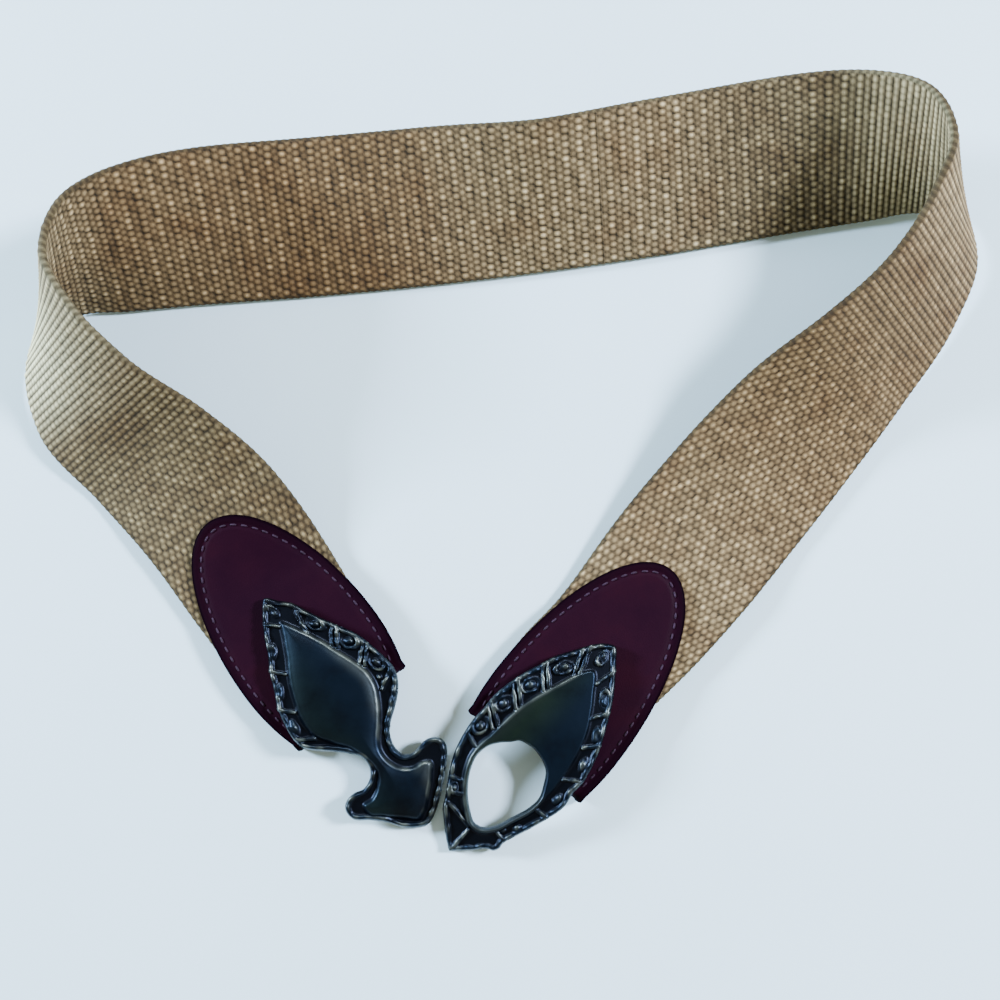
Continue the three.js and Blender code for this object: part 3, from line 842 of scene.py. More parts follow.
@dataclass
class WovenBand:
    """The webbing: a profile of two faces and two rounded edges, carried along its route."""

    half_thickness: float = 1.0
    yarn_rise: float = 0.45
    table_gap: float = 0.02
    end_clearance: float = 4.2
    segments: int = 4
    # The net of points: for each column and row of yarn, and round each edge.
    samples_along: int = 4
    samples_across: int = 5
    edge_samples: int = 5
    # The weave: its columns, its rows over the width, and how far a hump reaches and sways in both.
    column_pitch: float = 2.3
    rows: int = 22
    hump_along: float = 0.68
    hump_across: float = 0.58
    hump_sway: float = 0.2
    hump_power: float = 1.1
    least_hump: float = 0.72
    # Where the columns close up to ribs in the two tight turns, and how the ribs look.
    ribbed_left: Stretch = Stretch(530.0, 560.0, 596.0, 640.0)
    ribbed_right: Stretch = Stretch(140.0, 195.0, 260.0, 295.0)
    most_ribbed: float = 0.8
    left_ribbed: float = 0.9
    rib_power: float = 1.35
    rib_grain: float = 0.3
    rib_spread: float = 0.2
    # Every second column of the inner face lies deeper by this share.
    inner_sink: float = 0.23
    # The bound edge: how high its slanting cord stands, how much it waves and how far it leans.
    cord_rise: float = 0.42
    cord_wave: float = 0.2
    cord_lean: float = 1.2

    def __post_init__(self) -> None:
        """Lay the route through its table."""
        self.route = Track(BAND_ROWS, calm=(2, 5))
        self.length = BAND_ROWS[-1][0]

    def frame_at(self, at: np.ndarray) -> tuple[np.ndarray, np.ndarray, np.ndarray]:
        """Foot edge, direction across the webbing and width at places along it.

        Args:
            at: Distances along the band.

        Returns:
            Foot points, unit directions from foot to top, and widths.
        """
        row = self.route(at)
        return row[..., :3], unit(row[..., 3:6] - row[..., :3]), row[..., 6]

    def point(self, at: np.ndarray, part: np.ndarray) -> np.ndarray:
        """A point of the middle layer, at a distance along and a part of the width from the foot."""
        foot, across, width = self.frame_at(at)
        return foot + across * (part * width)[..., None]

    def normal(self, at: np.ndarray, part: np.ndarray) -> np.ndarray:
        """The outward direction: the run along the band crossed with the run across it.

        Args:
            at: Distances along the band.
            part: Parts of the width from the foot.

        Returns:
            Unit directions.
        """
        nudge = 0.5
        along = self.point(at + nudge, part) - self.point(at - nudge, part)
        across = self.frame_at(at)[1]
        return unit(np.cross(along, across))

    def under(self, plan: np.ndarray, guess: np.ndarray) -> tuple[np.ndarray, np.ndarray]:
        """Find the place of the middle layer that lies right under or over spots of the table.

        Each round steps along and across the webbing by the miss seen from above.

        Args:
            plan: Spots with x and y in the last axis.
            guess: First guesses of the distance along the band.

        Returns:
            Distances along the band and parts of its width.
        """
        rounds, step, share = 6, 1.0, 0.01
        at = guess.astype(float)
        part = np.full(at.shape, 0.5)
        for _ in range(rounds):
            here = self.point(at, part)
            along = (self.point(at + step, part) - self.point(at - step, part)) / (2.0 * step)
            across = (self.point(at, part + share) - self.point(at, part - share)) / (2.0 * share)
            miss = plan - here[..., :2]
            area = along[..., 0] * across[..., 1] - along[..., 1] * across[..., 0]
            at = at + (miss[..., 0] * across[..., 1] - miss[..., 1] * across[..., 0]) / area
            part = part + (along[..., 0] * miss[..., 1] - along[..., 1] * miss[..., 0]) / area
            at = np.clip(at, 1.0, self.length - 1.0)
        return at, part

    def yarn(self, at: np.ndarray, part: np.ndarray, side: Side) -> tuple[np.ndarray, np.ndarray]:
        """Height and tone of the weave.

        The humps stand in columns across the band, and every second column is set half a row
        further, so that the humps of one nest between those of the next. A hump is a peaked
        ellipsoid, and the highest of the three nearest columns shows. On the inner face every
        second column lies deeper. Where the band is bent hard its columns close up to ribs,
        each a parabola across the column.

        Args:
            at: Distances along the band.
            part: Parts of the width from the foot.
            side: Which face.

        Returns:
            Heights from 0 in the gaps to 1 on the humps, and tones from 0 to 1.
        """
        turn = at / self.column_pitch + (0.0 if side is Side.OUTER else 0.5)
        sink = 0.0 if side is Side.OUTER else self.inner_sink
        height = np.zeros(at.shape)
        tone = np.zeros(at.shape)
        for step in (-1.0, 0.0, 1.0):
            column = np.round(turn) + step
            second = np.mod(column, 2.0)
            row = part * self.rows + 0.5 * second
            count = np.floor(row)
            sway = self.hump_sway * (spread(count, column, Draw.SWAY.value) - 0.5)
            along = (turn - column - sway) / (self.hump_along - 0.5 * sink * second)
            across = (row - count - 0.5 + 0.5 * sway) / self.hump_across
            own = self.least_hump + (1.0 - self.least_hump) * spread(column, count, side.value)
            dome = np.clip(1.0 - along**2 - across**2, 0.0, 1.0) ** self.hump_power
            dome = dome * own * (1.0 - sink * second)
            tone = np.where(dome > height, spread(count, column, Draw.TONE.value + side.value), tone)
            height = np.maximum(height, dome)
        rib = np.clip(1.0 - (2.0 * (turn - np.round(turn))) ** 2, 0.0, 1.0)
        rib = (rib * (1.0 - self.rib_grain * (1.0 - height))) ** self.rib_power
        own = spread(np.round(turn), np.zeros(at.shape), Draw.RIB.value)
        rib = rib * (1.0 - self.rib_spread * (1.0 - own))
        left, right = self.ribbed_left.share(at), self.ribbed_right.share(at)
        share = self.most_ribbed * np.maximum(self.left_ribbed * left, right)
        return (1.0 - share) * height + share * rib, tone

    def stations(self, start: float, end: float) -> np.ndarray:
        """Distances along the band that keep step with the weave, with both ends added.

        Args:
            start: Where the stretch starts.
            end: Where it ends.

        Returns:
            The distances.
        """
        step = self.column_pitch / self.samples_along
        clear = 0.3 * step
        first, last = np.ceil((start + clear) / step), np.floor((end - clear) / step)
        return np.concatenate([[start], np.arange(first, last + 1.0) * step, [end]])

    def surface(self, start: float, end: float) -> Surface:
        """The stretch of webbing between two distances, with both ends capped.

        Each ring runs up the outer face, round the top edge, down the inner face and round the
        foot edge. The faces lie half the thickness off the middle layer, the edges are half
        circles, and the weave is raised off the faces, a slanting cord off the edges.

        Args:
            start: Where the stretch starts.
            end: Where it ends.

        Returns:
            Its surface, with the yarn's height, tone and ageing at each point.
        """
        at = self.stations(start, end)
        r = self.half_thickness
        flats = self.rows * self.samples_across + 1
        arcs = self.edge_samples
        swing = (np.arange(arcs) + 1) / (arcs + 1) * np.pi
        level = np.linspace(0.0, 1.0, flats)
        inset = np.concatenate([level, np.ones(arcs), level[::-1], np.zeros(arcs)])
        out = np.concatenate([np.ones(flats), np.cos(swing), -np.ones(flats), -np.cos(swing)])
        bulge = np.concatenate([np.zeros(flats), np.sin(swing), np.zeros(flats), -np.sin(swing)])
        _, across, width = self.frame_at(at)
        over = r + (width[:, None] - 2.0 * r) * inset + r * bulge
        place = np.broadcast_to(at[:, None], over.shape)
        part = over / width[:, None]
        normal = self.normal(place, part)
        columns = np.broadcast_to(inset, over.shape)
        outer = np.broadcast_to(out > 0.0, over.shape)
        high_outer, tone_outer = self.yarn(place, columns, Side.OUTER)
        high_inner, tone_inner = self.yarn(place, columns, Side.INNER)
        high = np.where(outer, high_outer, high_inner)
        tone = np.where(outer, tone_outer, tone_inner)
        edge = np.abs(bulge) > 0.0
        slant = 2.0 * np.pi * at[:, None] / self.column_pitch + self.cord_lean * out[None, edge]
        high[:, edge] = self.cord_rise + self.cord_wave * np.cos(slant)
        direction = unit(normal * out[None, :, None] + across[:, None, :] * bulge[None, :, None])
        points = self.point(place, part) + normal * (r * out)[None, :, None]
        points = points + direction * (self.yarn_rise * high)[..., None]
        points[..., 2] = np.maximum(points[..., 2], self.table_gap)
        caps = self.end_caps(len(at), flats, arcs)
        faces = np.vstack([grid_faces(len(at), len(inset), wrap_columns=True)[:, ::-1], caps])
        values = {"yarn_height": high, "yarn_tone": tone, **self.painted_light_and_tint(place, outer, columns)}
        # The bound edges get this darkening in full, the grey of the painted shade.
        values["painted_shade"][:, edge] = 1.0
        return Surface(points.reshape(-1, 3), faces, values, len(caps))

    def end_caps(self, rings: int, flats: int, arcs: int) -> np.ndarray:
        """Faces that close both ends: the outer face's points meet the inner face's across the wall.

        Each rounded edge is filled between its own two halves, from the wall's faces outwards.
        Where its points are odd in number, the sliver between the last three is left open. It
        lies inside the leather or against the next stretch.

        Args:
            rings: Number of rings in the stretch.
            flats: Points of a ring on each face.
            arcs: Points of a ring between the faces, round each edge.

        Returns:
            Corner numbers of the faces at both ends.
        """
        ring = 2 * (flats + arcs)
        j = np.arange(flats - 1)
        far = 2 * flats + arcs - 1 - j
        wall = np.stack([j, j + 1, far - 1, far], axis=-1)
        k = np.arange(arcs // 2)
        up, down = flats - 1 + k, flats + arcs - k
        top = np.stack([up, up + 1, down - 1, down], axis=-1)
        turned = (ring - k) % ring
        met = 2 * flats + arcs - 1 + k
        foot = np.stack([met, met + 1, (ring - k - 1) % ring, turned], axis=-1)
        first = np.vstack([wall, top, foot])
        last = (first + (rings - 1) * ring)[:, ::-1]
        return np.vstack([first, last])

    def painted_light_and_tint(self, at: np.ndarray, outer: np.ndarray, part: np.ndarray) -> dict[str, np.ndarray]:
        """A brown tint, painted shade and painted light along the webbing.

        The brown tint makes the outer face browner and darker all along, more on the right arm,
        and the inner face on the back, most in its middle. The painted shade darkens the outer
        face a little all along, more on the left arm and less at the right bend, and the inner
        face a little all along, more at the back's right end. The painted light lies on the outer
        face of the left turn and on the inner face of the right turn. Each is a sum of the shares
        of a few stretches. The painted light of the left turn fades towards the top edge.

        Args:
            at: Distances along the band.
            outer: True on the face worn outwards.
            part: Parts of the width from the foot.

        Returns:
            Shares from 0 to 1 of the brown tint, the painted shade and the painted light.
        """
        back = Stretch(360.0, 440.0, 515.0, 560.0).share(at)
        middle = Stretch(400.0, 440.0, 455.0, 490.0).share(at)
        corner = Stretch(256.0, 285.0, 300.0, 350.0).share(at)
        right_arm = Stretch(40.0, 150.0, 190.0, 225.0).share(at)
        right_bend = Stretch(190.0, 212.0, 240.0, 262.0).share(at)
        right_turn = Stretch(215.0, 240.0, 262.0, 285.0).share(at)
        left_turn = Stretch(540.0, 562.0, 568.0, 606.0).share(at)
        left_arm = smooth_step(at, 585.0, 612.0)
        # Painted light on the left turn's outer face, fading towards the top edge.
        left_turn_light = left_turn * (1.0 - 0.75 * smooth_step(part, 0.2, 1.0))
        return {
            "brown_tint": np.where(outer, 0.3 + 0.3 * right_arm, 0.06 + 0.5 * back + 0.14 * middle),
            "painted_shade": np.where(outer, 0.25 + 0.6 * left_arm - 0.2 * right_bend, 0.06 + 0.7 * corner),
            "painted_light": np.where(outer, left_turn_light, 0.22 * right_turn),
        }

    def build(self, placement: Placement, finish: bpy.types.Material) -> None:
        """Make the webbing in stretches that meet end to end and together stand for the band.

        The cuts fall on whole columns. The first is set half a column further, into a gap of the
        outer face, where it can't be seen.

        Args:
            placement: Where the table lies in the frame.
            finish: The webbing's material.
        """
        first, last = self.end_clearance, self.length - self.end_clearance
        cuts = np.round(np.linspace(first, last, self.segments + 1) / self.column_pitch)
        cuts = cuts * self.column_pitch
        cuts[1] += 0.5 * self.column_pitch
        cuts[0], cuts[-1] = first, last
        for number, (start, end) in enumerate(zip(cuts[:-1], cuts[1:]), 1):
            surface = self.surface(start, end)
            piece = make_piece(f"band_webbing_{number}", surface, placement, finish)
            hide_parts("band")


def find_placement(band: WovenBand) -> Placement:
    """Match the band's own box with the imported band's box.

    Args:
        band: The webbing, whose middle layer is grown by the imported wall's half.

    Returns:
        The shift of the table in the frame.
    """
    half_wall = 1.2
    samples = 1201
    at = np.linspace(band.end_clearance, band.length - band.end_clearance, samples)
    spots = []
    for part in (0.0, 1.0):
        parts = np.full(at.shape, part)
        middle = band.point(at, parts)
        normal = band.normal(at, parts)
        spots += [middle + half_wall * normal, middle - half_wall * normal]
    spots = np.concatenate(spots)
    low, high = (np.array(corner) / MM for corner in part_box("band"))
    shift = (low + high - spots.min(0) - spots.max(0)) / 2.0
    return Placement(float(shift[0]), float(shift[1]))


@dataclass
class LeatherTongue:
    """A leather tongue folded round its pegs and sewn to both faces of the webbing.

    It is measured from its fold, ahead along the webbing and to the left. It is widest a little
    way ahead, narrows to the fold as an ellipse of the root's length, and has an oval nose.
    """

    name: str
    fold: PlanFrame
    fold_end: float
    half_width: float
    widest: float
    root: float
    length: float = 71.6
    leather: float = 1.5
    inner_offset: float = 1.5
    stack_middle: float = 3.0
    # The notch in the fold that lets the plate's lugs through.
    notch_half: float = 12.4
    notch_depth: float = 3.6
    # The outer face: its rounded edge, the groove of the seam and the puffed middle.
    edge_round: float = 0.35
    edge_reach: float = 0.8
    seam_depth: float = 0.28
    seam_half: float = 1.0
    puff: float = 0.1
    puff_reach: float = 9.0
    # The seam: where it runs, its threads, and how they sink under the face.
    stitch_inset: float = 3.0
    seam_start: float = 0.6
    stitch_pitch: float = 3.3
    stitch_length: float = 2.0
    stitch_wobble: float = 0.25
    thread_girth: float = 0.33
    thread_sink: float = 0.12
    end_dip: float = 0.3
    middle_dent: float = 0.08
    # The net of points: round the nose, along the sides, round the fold, and over the width.
    nose_steps: int = 54
    straight_steps: int = 26
    fold_steps: int = 10
    edge_columns: int = 14
    notch_columns: int = 31

    def half(self, ahead: np.ndarray) -> np.ndarray:
        """Half the width at a distance from the fold: two half ellipses that meet where it is widest."""
        reach = np.where(ahead > self.widest, self.length - self.widest, self.root)
        return self.half_width * np.sqrt(np.clip(1.0 - ((ahead - self.widest) / reach) ** 2, 0.0, 1.0))

    def lay(
        self, band: WovenBand, ahead: np.ndarray, left: np.ndarray, tilt: np.ndarray, offset: np.ndarray
    ) -> np.ndarray:
        """Points of the leather: the webbing's middle layer, moved off it by an offset.

        Args:
            band: The webbing it is sewn to.
            ahead: Distance ahead of the fold.
            left: Distance to the left.
            tilt: Direction of the offset in degrees, 90 up, 180 back round the fold, 270 down.
            offset: Distance from the middle layer.

        Returns:
            The points.
        """
        plan = self.fold.spot(ahead, left)
        guess = ahead if self.fold_end == 0.0 else self.fold_end - ahead
        at, part = band.under(plan, guess)
        forward = np.append(self.fold.axes()[0], 0.0)
        on_webbing = ahead > 0.0
        up = np.where(on_webbing[..., None], band.normal(at, part), np.array([0.0, 0.0, 1.0]))
        height = np.where(on_webbing, band.point(at, part)[..., 2], self.stack_middle)
        swing = np.radians(tilt)[..., None]
        direction = forward * np.cos(swing) + up * np.sin(swing)
        return np.concatenate([plan, height[..., None]], axis=-1) + direction * offset[..., None]

    def outline(self) -> np.ndarray:
        """The tongue's plan outline from the fold round the nose and back.

        Returns:
            Distances ahead and to the left, one row a point.
        """
        nose_points, side_points = 241, 40
        turn = np.linspace(0.0, np.pi, nose_points)
        ahead = self.widest + (self.length - self.widest) * np.sin(turn)
        nose = np.stack([ahead, self.half_width * np.cos(turn)], axis=-1)
        low = np.linspace(0.0, self.widest, side_points)[:-1]
        start = np.stack([low, self.half(low)], axis=-1)
        return np.vstack([start, nose, start[::-1] * np.array([1.0, -1.0])])

    def surface(self, band: WovenBand) -> Surface:
        """The folded leather as one closed body with a rounded edge and a notch for the lugs.

        Rows run from the front's nose over the fold to the back's nose. Columns run from edge to
        edge. The outer face is pressed in along the seam, its edge falls off, and its middle is
        puffed on top. The cells of the notch are left out, and every open edge is walled.

        Args:
            band: The webbing it is sewn to.

        Returns:
            The surface, with a rim value that is 1 at the cut edge and 0 beyond the seam.
        """
        turn = np.radians(np.linspace(1.0, 90.0, self.nose_steps + 1))
        far = self.widest + (self.length - self.widest) * np.cos(turn)
        near = np.linspace(self.widest, self.notch_depth, self.straight_steps)[1:]
        front = np.concatenate([far, near, [self.notch_depth / 2.0, 0.0]])
        fold_tilt = 90.0 + 180.0 * (np.arange(1, self.fold_steps) / self.fold_steps)
        rows = np.concatenate([front, np.zeros(self.fold_steps - 1), front[::-1]])
        tilt = np.concatenate([np.full(len(front), 90.0), fold_tilt, np.full(len(front), 270.0)])
        notch = self.notch_half / self.half(np.zeros(1))[0]
        edge_parts = np.sin(np.linspace(0.0, 1.0, self.edge_columns) * np.pi / 2.0) * (1.0 - notch) + notch
        notch_parts = np.linspace(-notch, notch, self.notch_columns)
        parts = np.concatenate([-edge_parts[::-1], notch_parts[1:-1], edge_parts])
        ahead, part = np.meshgrid(rows, parts, indexing="ij")
        tilt = np.broadcast_to(tilt[:, None], ahead.shape)
        left = part * self.half(ahead)
        inset = line_distance(np.stack([ahead, left], axis=-1), self.outline())
        on_top = tilt < 91.0
        groove = self.seam_depth * ridge(inset - self.stitch_inset, self.seam_half)
        puffed = self.puff * smooth_step(inset, self.stitch_inset, self.puff_reach)
        offset = self.inner_offset + self.leather - groove
        offset = offset + np.where(on_top, puffed, 0.0)
        offset = offset - self.edge_round * (1.0 - smooth_step(inset, 0.0, self.edge_reach))
        outer = self.lay(band, ahead, left, tilt, offset)
        inner = self.lay(band, ahead, left, tilt, np.full(ahead.shape, self.inner_offset))
        top = grid_faces(*ahead.shape)[self.cells_kept(rows, parts, notch).ravel()]
        bottom = top[:, ::-1] + ahead.size
        rim = 1.0 - 0.45 * smooth_step(inset, 0.2, 1.2) - 0.55 * smooth_step(inset, 1.6, 3.4)
        return Surface(
            np.concatenate([outer.reshape(-1, 3), inner.reshape(-1, 3)]),
            np.vstack([top, bottom, edge_walls(top, ahead.size)]),
            {"rim": np.concatenate([rim.ravel(), np.ones(rim.size)])},
        )

    def cells_kept(self, rows: np.ndarray, parts: np.ndarray, notch: float) -> np.ndarray:
        """Mark the grid's cells that are leather: all but those of the notch.

        Args:
            rows: Distance ahead of each row.
            parts: Part of the half width at each column.
            notch: Part of the half width at which the notch ends.

        Returns:
            True for a cell that is kept.
        """
        near = (rows[:-1] + rows[1:]) / 2.0 < self.notch_depth - 0.01
        column = np.abs((parts[:-1] + parts[1:]) / 2.0) < notch
        return ~(near[:, None] & column[None, :])

    def stitches(self, band: WovenBand) -> Surface:
        """The visible seam: a row of short threads along the outline, dipping in at both ends.

        Each thread is a tube whose radius is the root of one less a fourth power, and it sinks
        with the cube of the way from its middle, with a small dent there.

        Args:
            band: The webbing under the leather.

        Returns:
            All threads as one surface.
        """
        rings, sides = 9, 8
        line = self.outline()
        run = np.gradient(line, axis=0)
        seam = line - self.stitch_inset * unit(np.stack([-run[:, 1], run[:, 0]], axis=-1))
        seam = seam[seam[:, 0] > self.seam_start]
        travel = travel_along(seam)
        count = int(travel[-1] // self.stitch_pitch)
        middle = (np.arange(count) + 0.5) * travel[-1] / count
        part = np.linspace(-1.0, 1.0, rings)
        wobble = self.stitch_wobble * (spread(np.arange(count), np.zeros(count)) - 0.5)
        place = middle[:, None] + part * self.stitch_length / 2.0 + wobble[:, None]
        ahead = np.interp(place, travel, seam[:, 0])
        left = np.interp(place, travel, seam[:, 1])
        dent = self.middle_dent * np.exp(-((part / 0.22) ** 2))
        sink = self.thread_sink + self.end_dip * np.abs(part) ** 3 + dent
        offset = self.inner_offset + self.leather - np.broadcast_to(sink, ahead.shape)
        core = self.lay(band, ahead, left, np.full(ahead.shape, 90.0), offset)
        axis = unit(np.gradient(core, axis=1))
        side = unit(np.cross(axis, np.array([0.0, 0.0, 1.0])))
        girth = self.thread_girth * np.sqrt(np.clip(1.0 - (0.97 * part) ** 4, 0.02, 1.0))
        points = tube_points(core, side, np.cross(side, axis), girth, sides)
        first = np.arange(count)[:, None, None] * rings * sides
        faces = (tube_faces(rings, sides)[None] + first).reshape(-1, 4)
        return Surface(points.reshape(-1, 3), faces, {})

    def build(
        self, band: WovenBand, placement: Placement, leather: bpy.types.Material, thread: bpy.types.Material
    ) -> None:
        """Make the tongue and its seam.

        Args:
            band: The webbing it is sewn to.
            placement: Where the table lies in the frame.
            leather: The leather's material.
            thread: The thread's material.
        """
        piece = make_piece(f"{self.name}_leather", self.surface(band), placement, leather)
        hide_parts(self.name)
        make_piece(f"{self.name}_stitches", self.stitches(band), placement, thread)


@dataclass(frozen=True)
class LeafPattern:
    """The drawing of one cast leaf, in its own plan: along from its tip, and across to its left."""

    outline: list[tuple[float, float]]
    field: list[tuple[float, float]]
    bars: list[tuple[float, ...]]
    beads: list[tuple[float, ...]]
    eye: list[tuple[float, float]] | None = None


HOOK_OUTLINE = [
    # Left edge from the leaf's tip to the tail, then the right edge back to the tip.
    (0, 0), (3.4, -2.9), (6.5, -4.8), (11, -7), (16.2, -9.2), (19.9, -11.3), (24.3, -12.9), (30.9, -15.6),
    (35.4, -16.5), (40.7, -16.9), (44.5, -16.2), (47.9, -13.1), (51.2, -9.2), (54.5, -5.7), (57.2, -3.6),
    (60, -3.1), (62.4, -3.8), (64.6, -6.0), (65.5, -8.9), (64.8, -11.8), (65.2, -14.5), (66.6, -16.3),
    (68.8, -16.9), (71.1, -16.3), (74, -12.9), (78, -8.8), (82.1, -5.9), (84.6, -2.8), (85.9, 0.2),
    (85.5, 2.1), (83.8, 5.3), (81.1, 8.8), (78.1, 12.2), (75, 15.4), (72, 18.1), (69.6, 19.3), (67.5, 19.2),
    (65.7, 17.6), (64.9, 15.4), (65, 13.4), (65.6, 11.2), (65.6, 9.2), (64.2, 7.0), (61.2, 6.3), (58.6, 6.7),
    (56.4, 7.8), (54, 9.9), (51.4, 13.3), (48.2, 16.8), (44.8, 19.2), (40.7, 20.3), (37.5, 19.9), (32, 18.7),
    (26.6, 17.2), (22.2, 14.8), (18.2, 12.5), (14.6, 10.4), (11, 8.6), (6.3, 6.2), (3.2, 3.2),
]
HOOK_FIELD = [
    # The smooth field: down the leaf's left side, round the fish tail and back up its right side.
    (9.6, 0.4), (14.4, -2.2), (19.2, -4.4), (24.9, -7.5), (31.1, -9.9), (38, -11.6), (43.2, -11.3),
    (48.7, -8.0), (53.5, -4.4), (58.5, -2.6), (62.5, -2.0), (65.2, -2.8), (67.4, -4.8), (69.3, -8.0),
    (69.4, -11.4), (72.6, -11.6), (75.9, -8.2), (80.2, -3.6), (82.8, -0.4), (81.8, 2.6), (78.2, 6.8),
    (74.4, 10.6), (71, 12.6), (69.6, 10.8), (69.2, 7.6), (67, 4.4), (64.4, 3.0), (61.4, 2.4), (58.4, 2.9),
    (55.9, 4.4), (53.3, 6.6), (47.1, 10.9), (42.9, 12.8), (37.7, 13.2), (32.7, 11.8), (27.2, 9.6),
    (21.4, 7.3), (17.1, 5.1), (12.4, 2.4),
]
HOOK_BARS = [
    # from along, from across, to along, to across
    (6.3, 6.2, 16.9, 5.0),
    (19.1, 12.6, 24.8, 9.0),
    (20.7, 13.4, 26.2, 9.9),
    (29.0, 17.5, 34.2, 12.7),
    (30.6, 18.1, 35.7, 13.4),
    (41.0, 19.8, 44.6, 13.4),
    (6.6, -4.8, 10.6, -0.6),
    (19.6, -11.2, 23.4, -7.4),
    (30.9, -15.5, 34.6, -11.8),
    (41.3, -16.6, 44.6, -11.6),
]
HOOK_BEADS = [
    # along, across, half length, half width, turn, share of the lens inside its ring
    (5.2, 0.1, 2.5, 1.2, 8, 0.85),
    (16.1, 8.3, 3.1, 1.7, 34, 0.6),
    (26.6, 13.9, 3.3, 2.2, 30, 0.58),
    (37.1, 16.9, 2.9, 2.1, 14, 0.6),
    (41.2, 15.0, 0.9, 0.8, 0, 1.0),
    (15.4, -6.8, 2.8, 1.2, -27, 1.0),
    (26.6, -11.9, 2.9, 1.3, -22, 1.0),
    (38.2, -14.5, 2.8, 1.3, -6, 1.0),
]
LOOP_OUTLINE = [
    # From the leaf's tip down the left side, round the corner and the nub, and up the right side.
    (-0.7, 0.9), (0.4, -2), (3.1, -5), (6.3, -7.3), (9.8, -9.9), (13.1, -12.2), (17.7, -14.4), (23.8, -17.2),
    (28.6, -18.8), (34.6, -20.1), (38.4, -20.2), (43.4, -20.7), (47.9, -20.5), (53.4, -19.6), (59.7, -17.3),
    (64.5, -14.8), (67.6, -13.2), (69.6, -12.4), (72.6, -9.9), (75.4, -7.2), (77.8, -4.6), (79.2, -2.6),
    (77.6, -0.4), (74.6, 3.1), (71.8, 6.0), (70.8, 8.2), (69.4, 9.0), (67.4, 9.0), (64.2, 10.3),
    (58.1, 13.2), (53.2, 15.2), (48.6, 16.8), (45.6, 17.0), (43.6, 16.7), (38.2, 17.3), (34.3, 16.9),
    (28.1, 15.7), (23.2, 14.1), (18.2, 12.2), (11.8, 9.4), (5.9, 5.9), (2.3, 3.5),
]
LOOP_EYE = [
    # From the side nearest the tip along its right and back along its left.
    (41.7, -7.2), (39.9, -5.4), (39.4, -3.2), (39.3, -0.8), (39.8, 1.6), (40.8, 4.1), (42.3, 6.2), (46, 8.2),
    (50.2, 9.5), (53.5, 9), (59.6, 6.4), (65.3, 3.5), (67.2, 1.6), (67.9, -1.3), (65.6, -5), (60.7, -9.5),
    (55.6, -12.2), (51.2, -13.1), (46.8, -12), (44.3, -10.1),
]
LOOP_FIELD = [
    # The smooth field round the eye: down its left side and back up its right side.
    (9.6, 0), (13.8, -3.7), (18, -5.8), (22.6, -7.9), (27.3, -10), (32.4, -11.7), (39.1, -13), (43.7, -13.6),
    (48.4, -14.8), (52, -15), (56.6, -13.7), (61.4, -11.1), (65.8, -7.3), (69.4, -2.2), (68.9, 2.2),
    (66.3, 4.9), (60.4, 7.8), (54.4, 10.4), (50.6, 10.8), (45, 11.3), (38.2, 11.3), (33.2, 10.9),
    (26.7, 9.6), (19.7, 6.6), (15.1, 4.0),
]
LOOP_BARS = [
    # from along, from across, to along, to across
    (5.4, -6.6, 13.9, -4.3),
    (3.7, -5.3, 12.6, -3.0),
    (17.3, -13.8, 23.6, -8.6),
    (15.9, -13.0, 22.2, -7.8),
    (27.0, -17.8, 33.0, -12.2),
    (25.4, -17.2, 31.4, -11.5),
    (37.2, -20.0, 42.0, -14.2),
    (35.6, -20.0, 40.3, -13.6),
    (47.6, -20.2, 49.4, -15.2),
    (4.9, 5.6, 12.2, 3.0),
    (16.6, 11.6, 21.8, 7.6),
    (26.1, 15.2, 30.2, 11.0),
    (38.0, 16.9, 41.3, 11.6),
    (53.0, 15.0, 53.2, 11.2),
    (66.6, 9.0, 65.8, 5.4),
    (79.0, -2.6, 70.6, -1.8),
    (67.6, -13.0, 69.4, -2.6),
    (61.4, -16.4, 60.0, -12.2),
    (65.2, -14.2, 63.6, -9.8),
]
LOOP_BEADS = [
    # along, across, half length, half width, turn, share of the lens inside its ring
    (4.6, -0.2, 2.6, 1.4, 4, 0.7),
    (14.3, -7.9, 3.1, 1.8, -34, 0.65),
    (24.7, -13.0, 3.1, 2.1, -28, 0.62),
    (34.1, -16.0, 2.9, 2.1, -18, 0.62),
    (43.6, -17.7, 2.9, 2.1, -4, 0.62),
    (14.6, 7.9, 3.1, 1.4, 30, 0.7),
    (24.6, 12.0, 2.7, 1.3, 22, 1.0),
    (33.9, 14.0, 2.7, 1.3, 10, 1.0),
    (46.8, 13.9, 2.2, 1.2, -6, 1.0),
    (64.3, 6.6, 1.2, 0.9, -26, 1.0),
    (61.0, 9.6, 1.6, 0.9, -26, 1.0),
    (63.2, -12.7, 1.9, 0.9, 34, 0.6),
]
HOOK_LEAF = LeafPattern(HOOK_OUTLINE, HOOK_FIELD, HOOK_BARS, HOOK_BEADS)
LOOP_LEAF = LeafPattern(LOOP_OUTLINE, LOOP_FIELD, LOOP_BARS, LOOP_BEADS, LOOP_EYE)


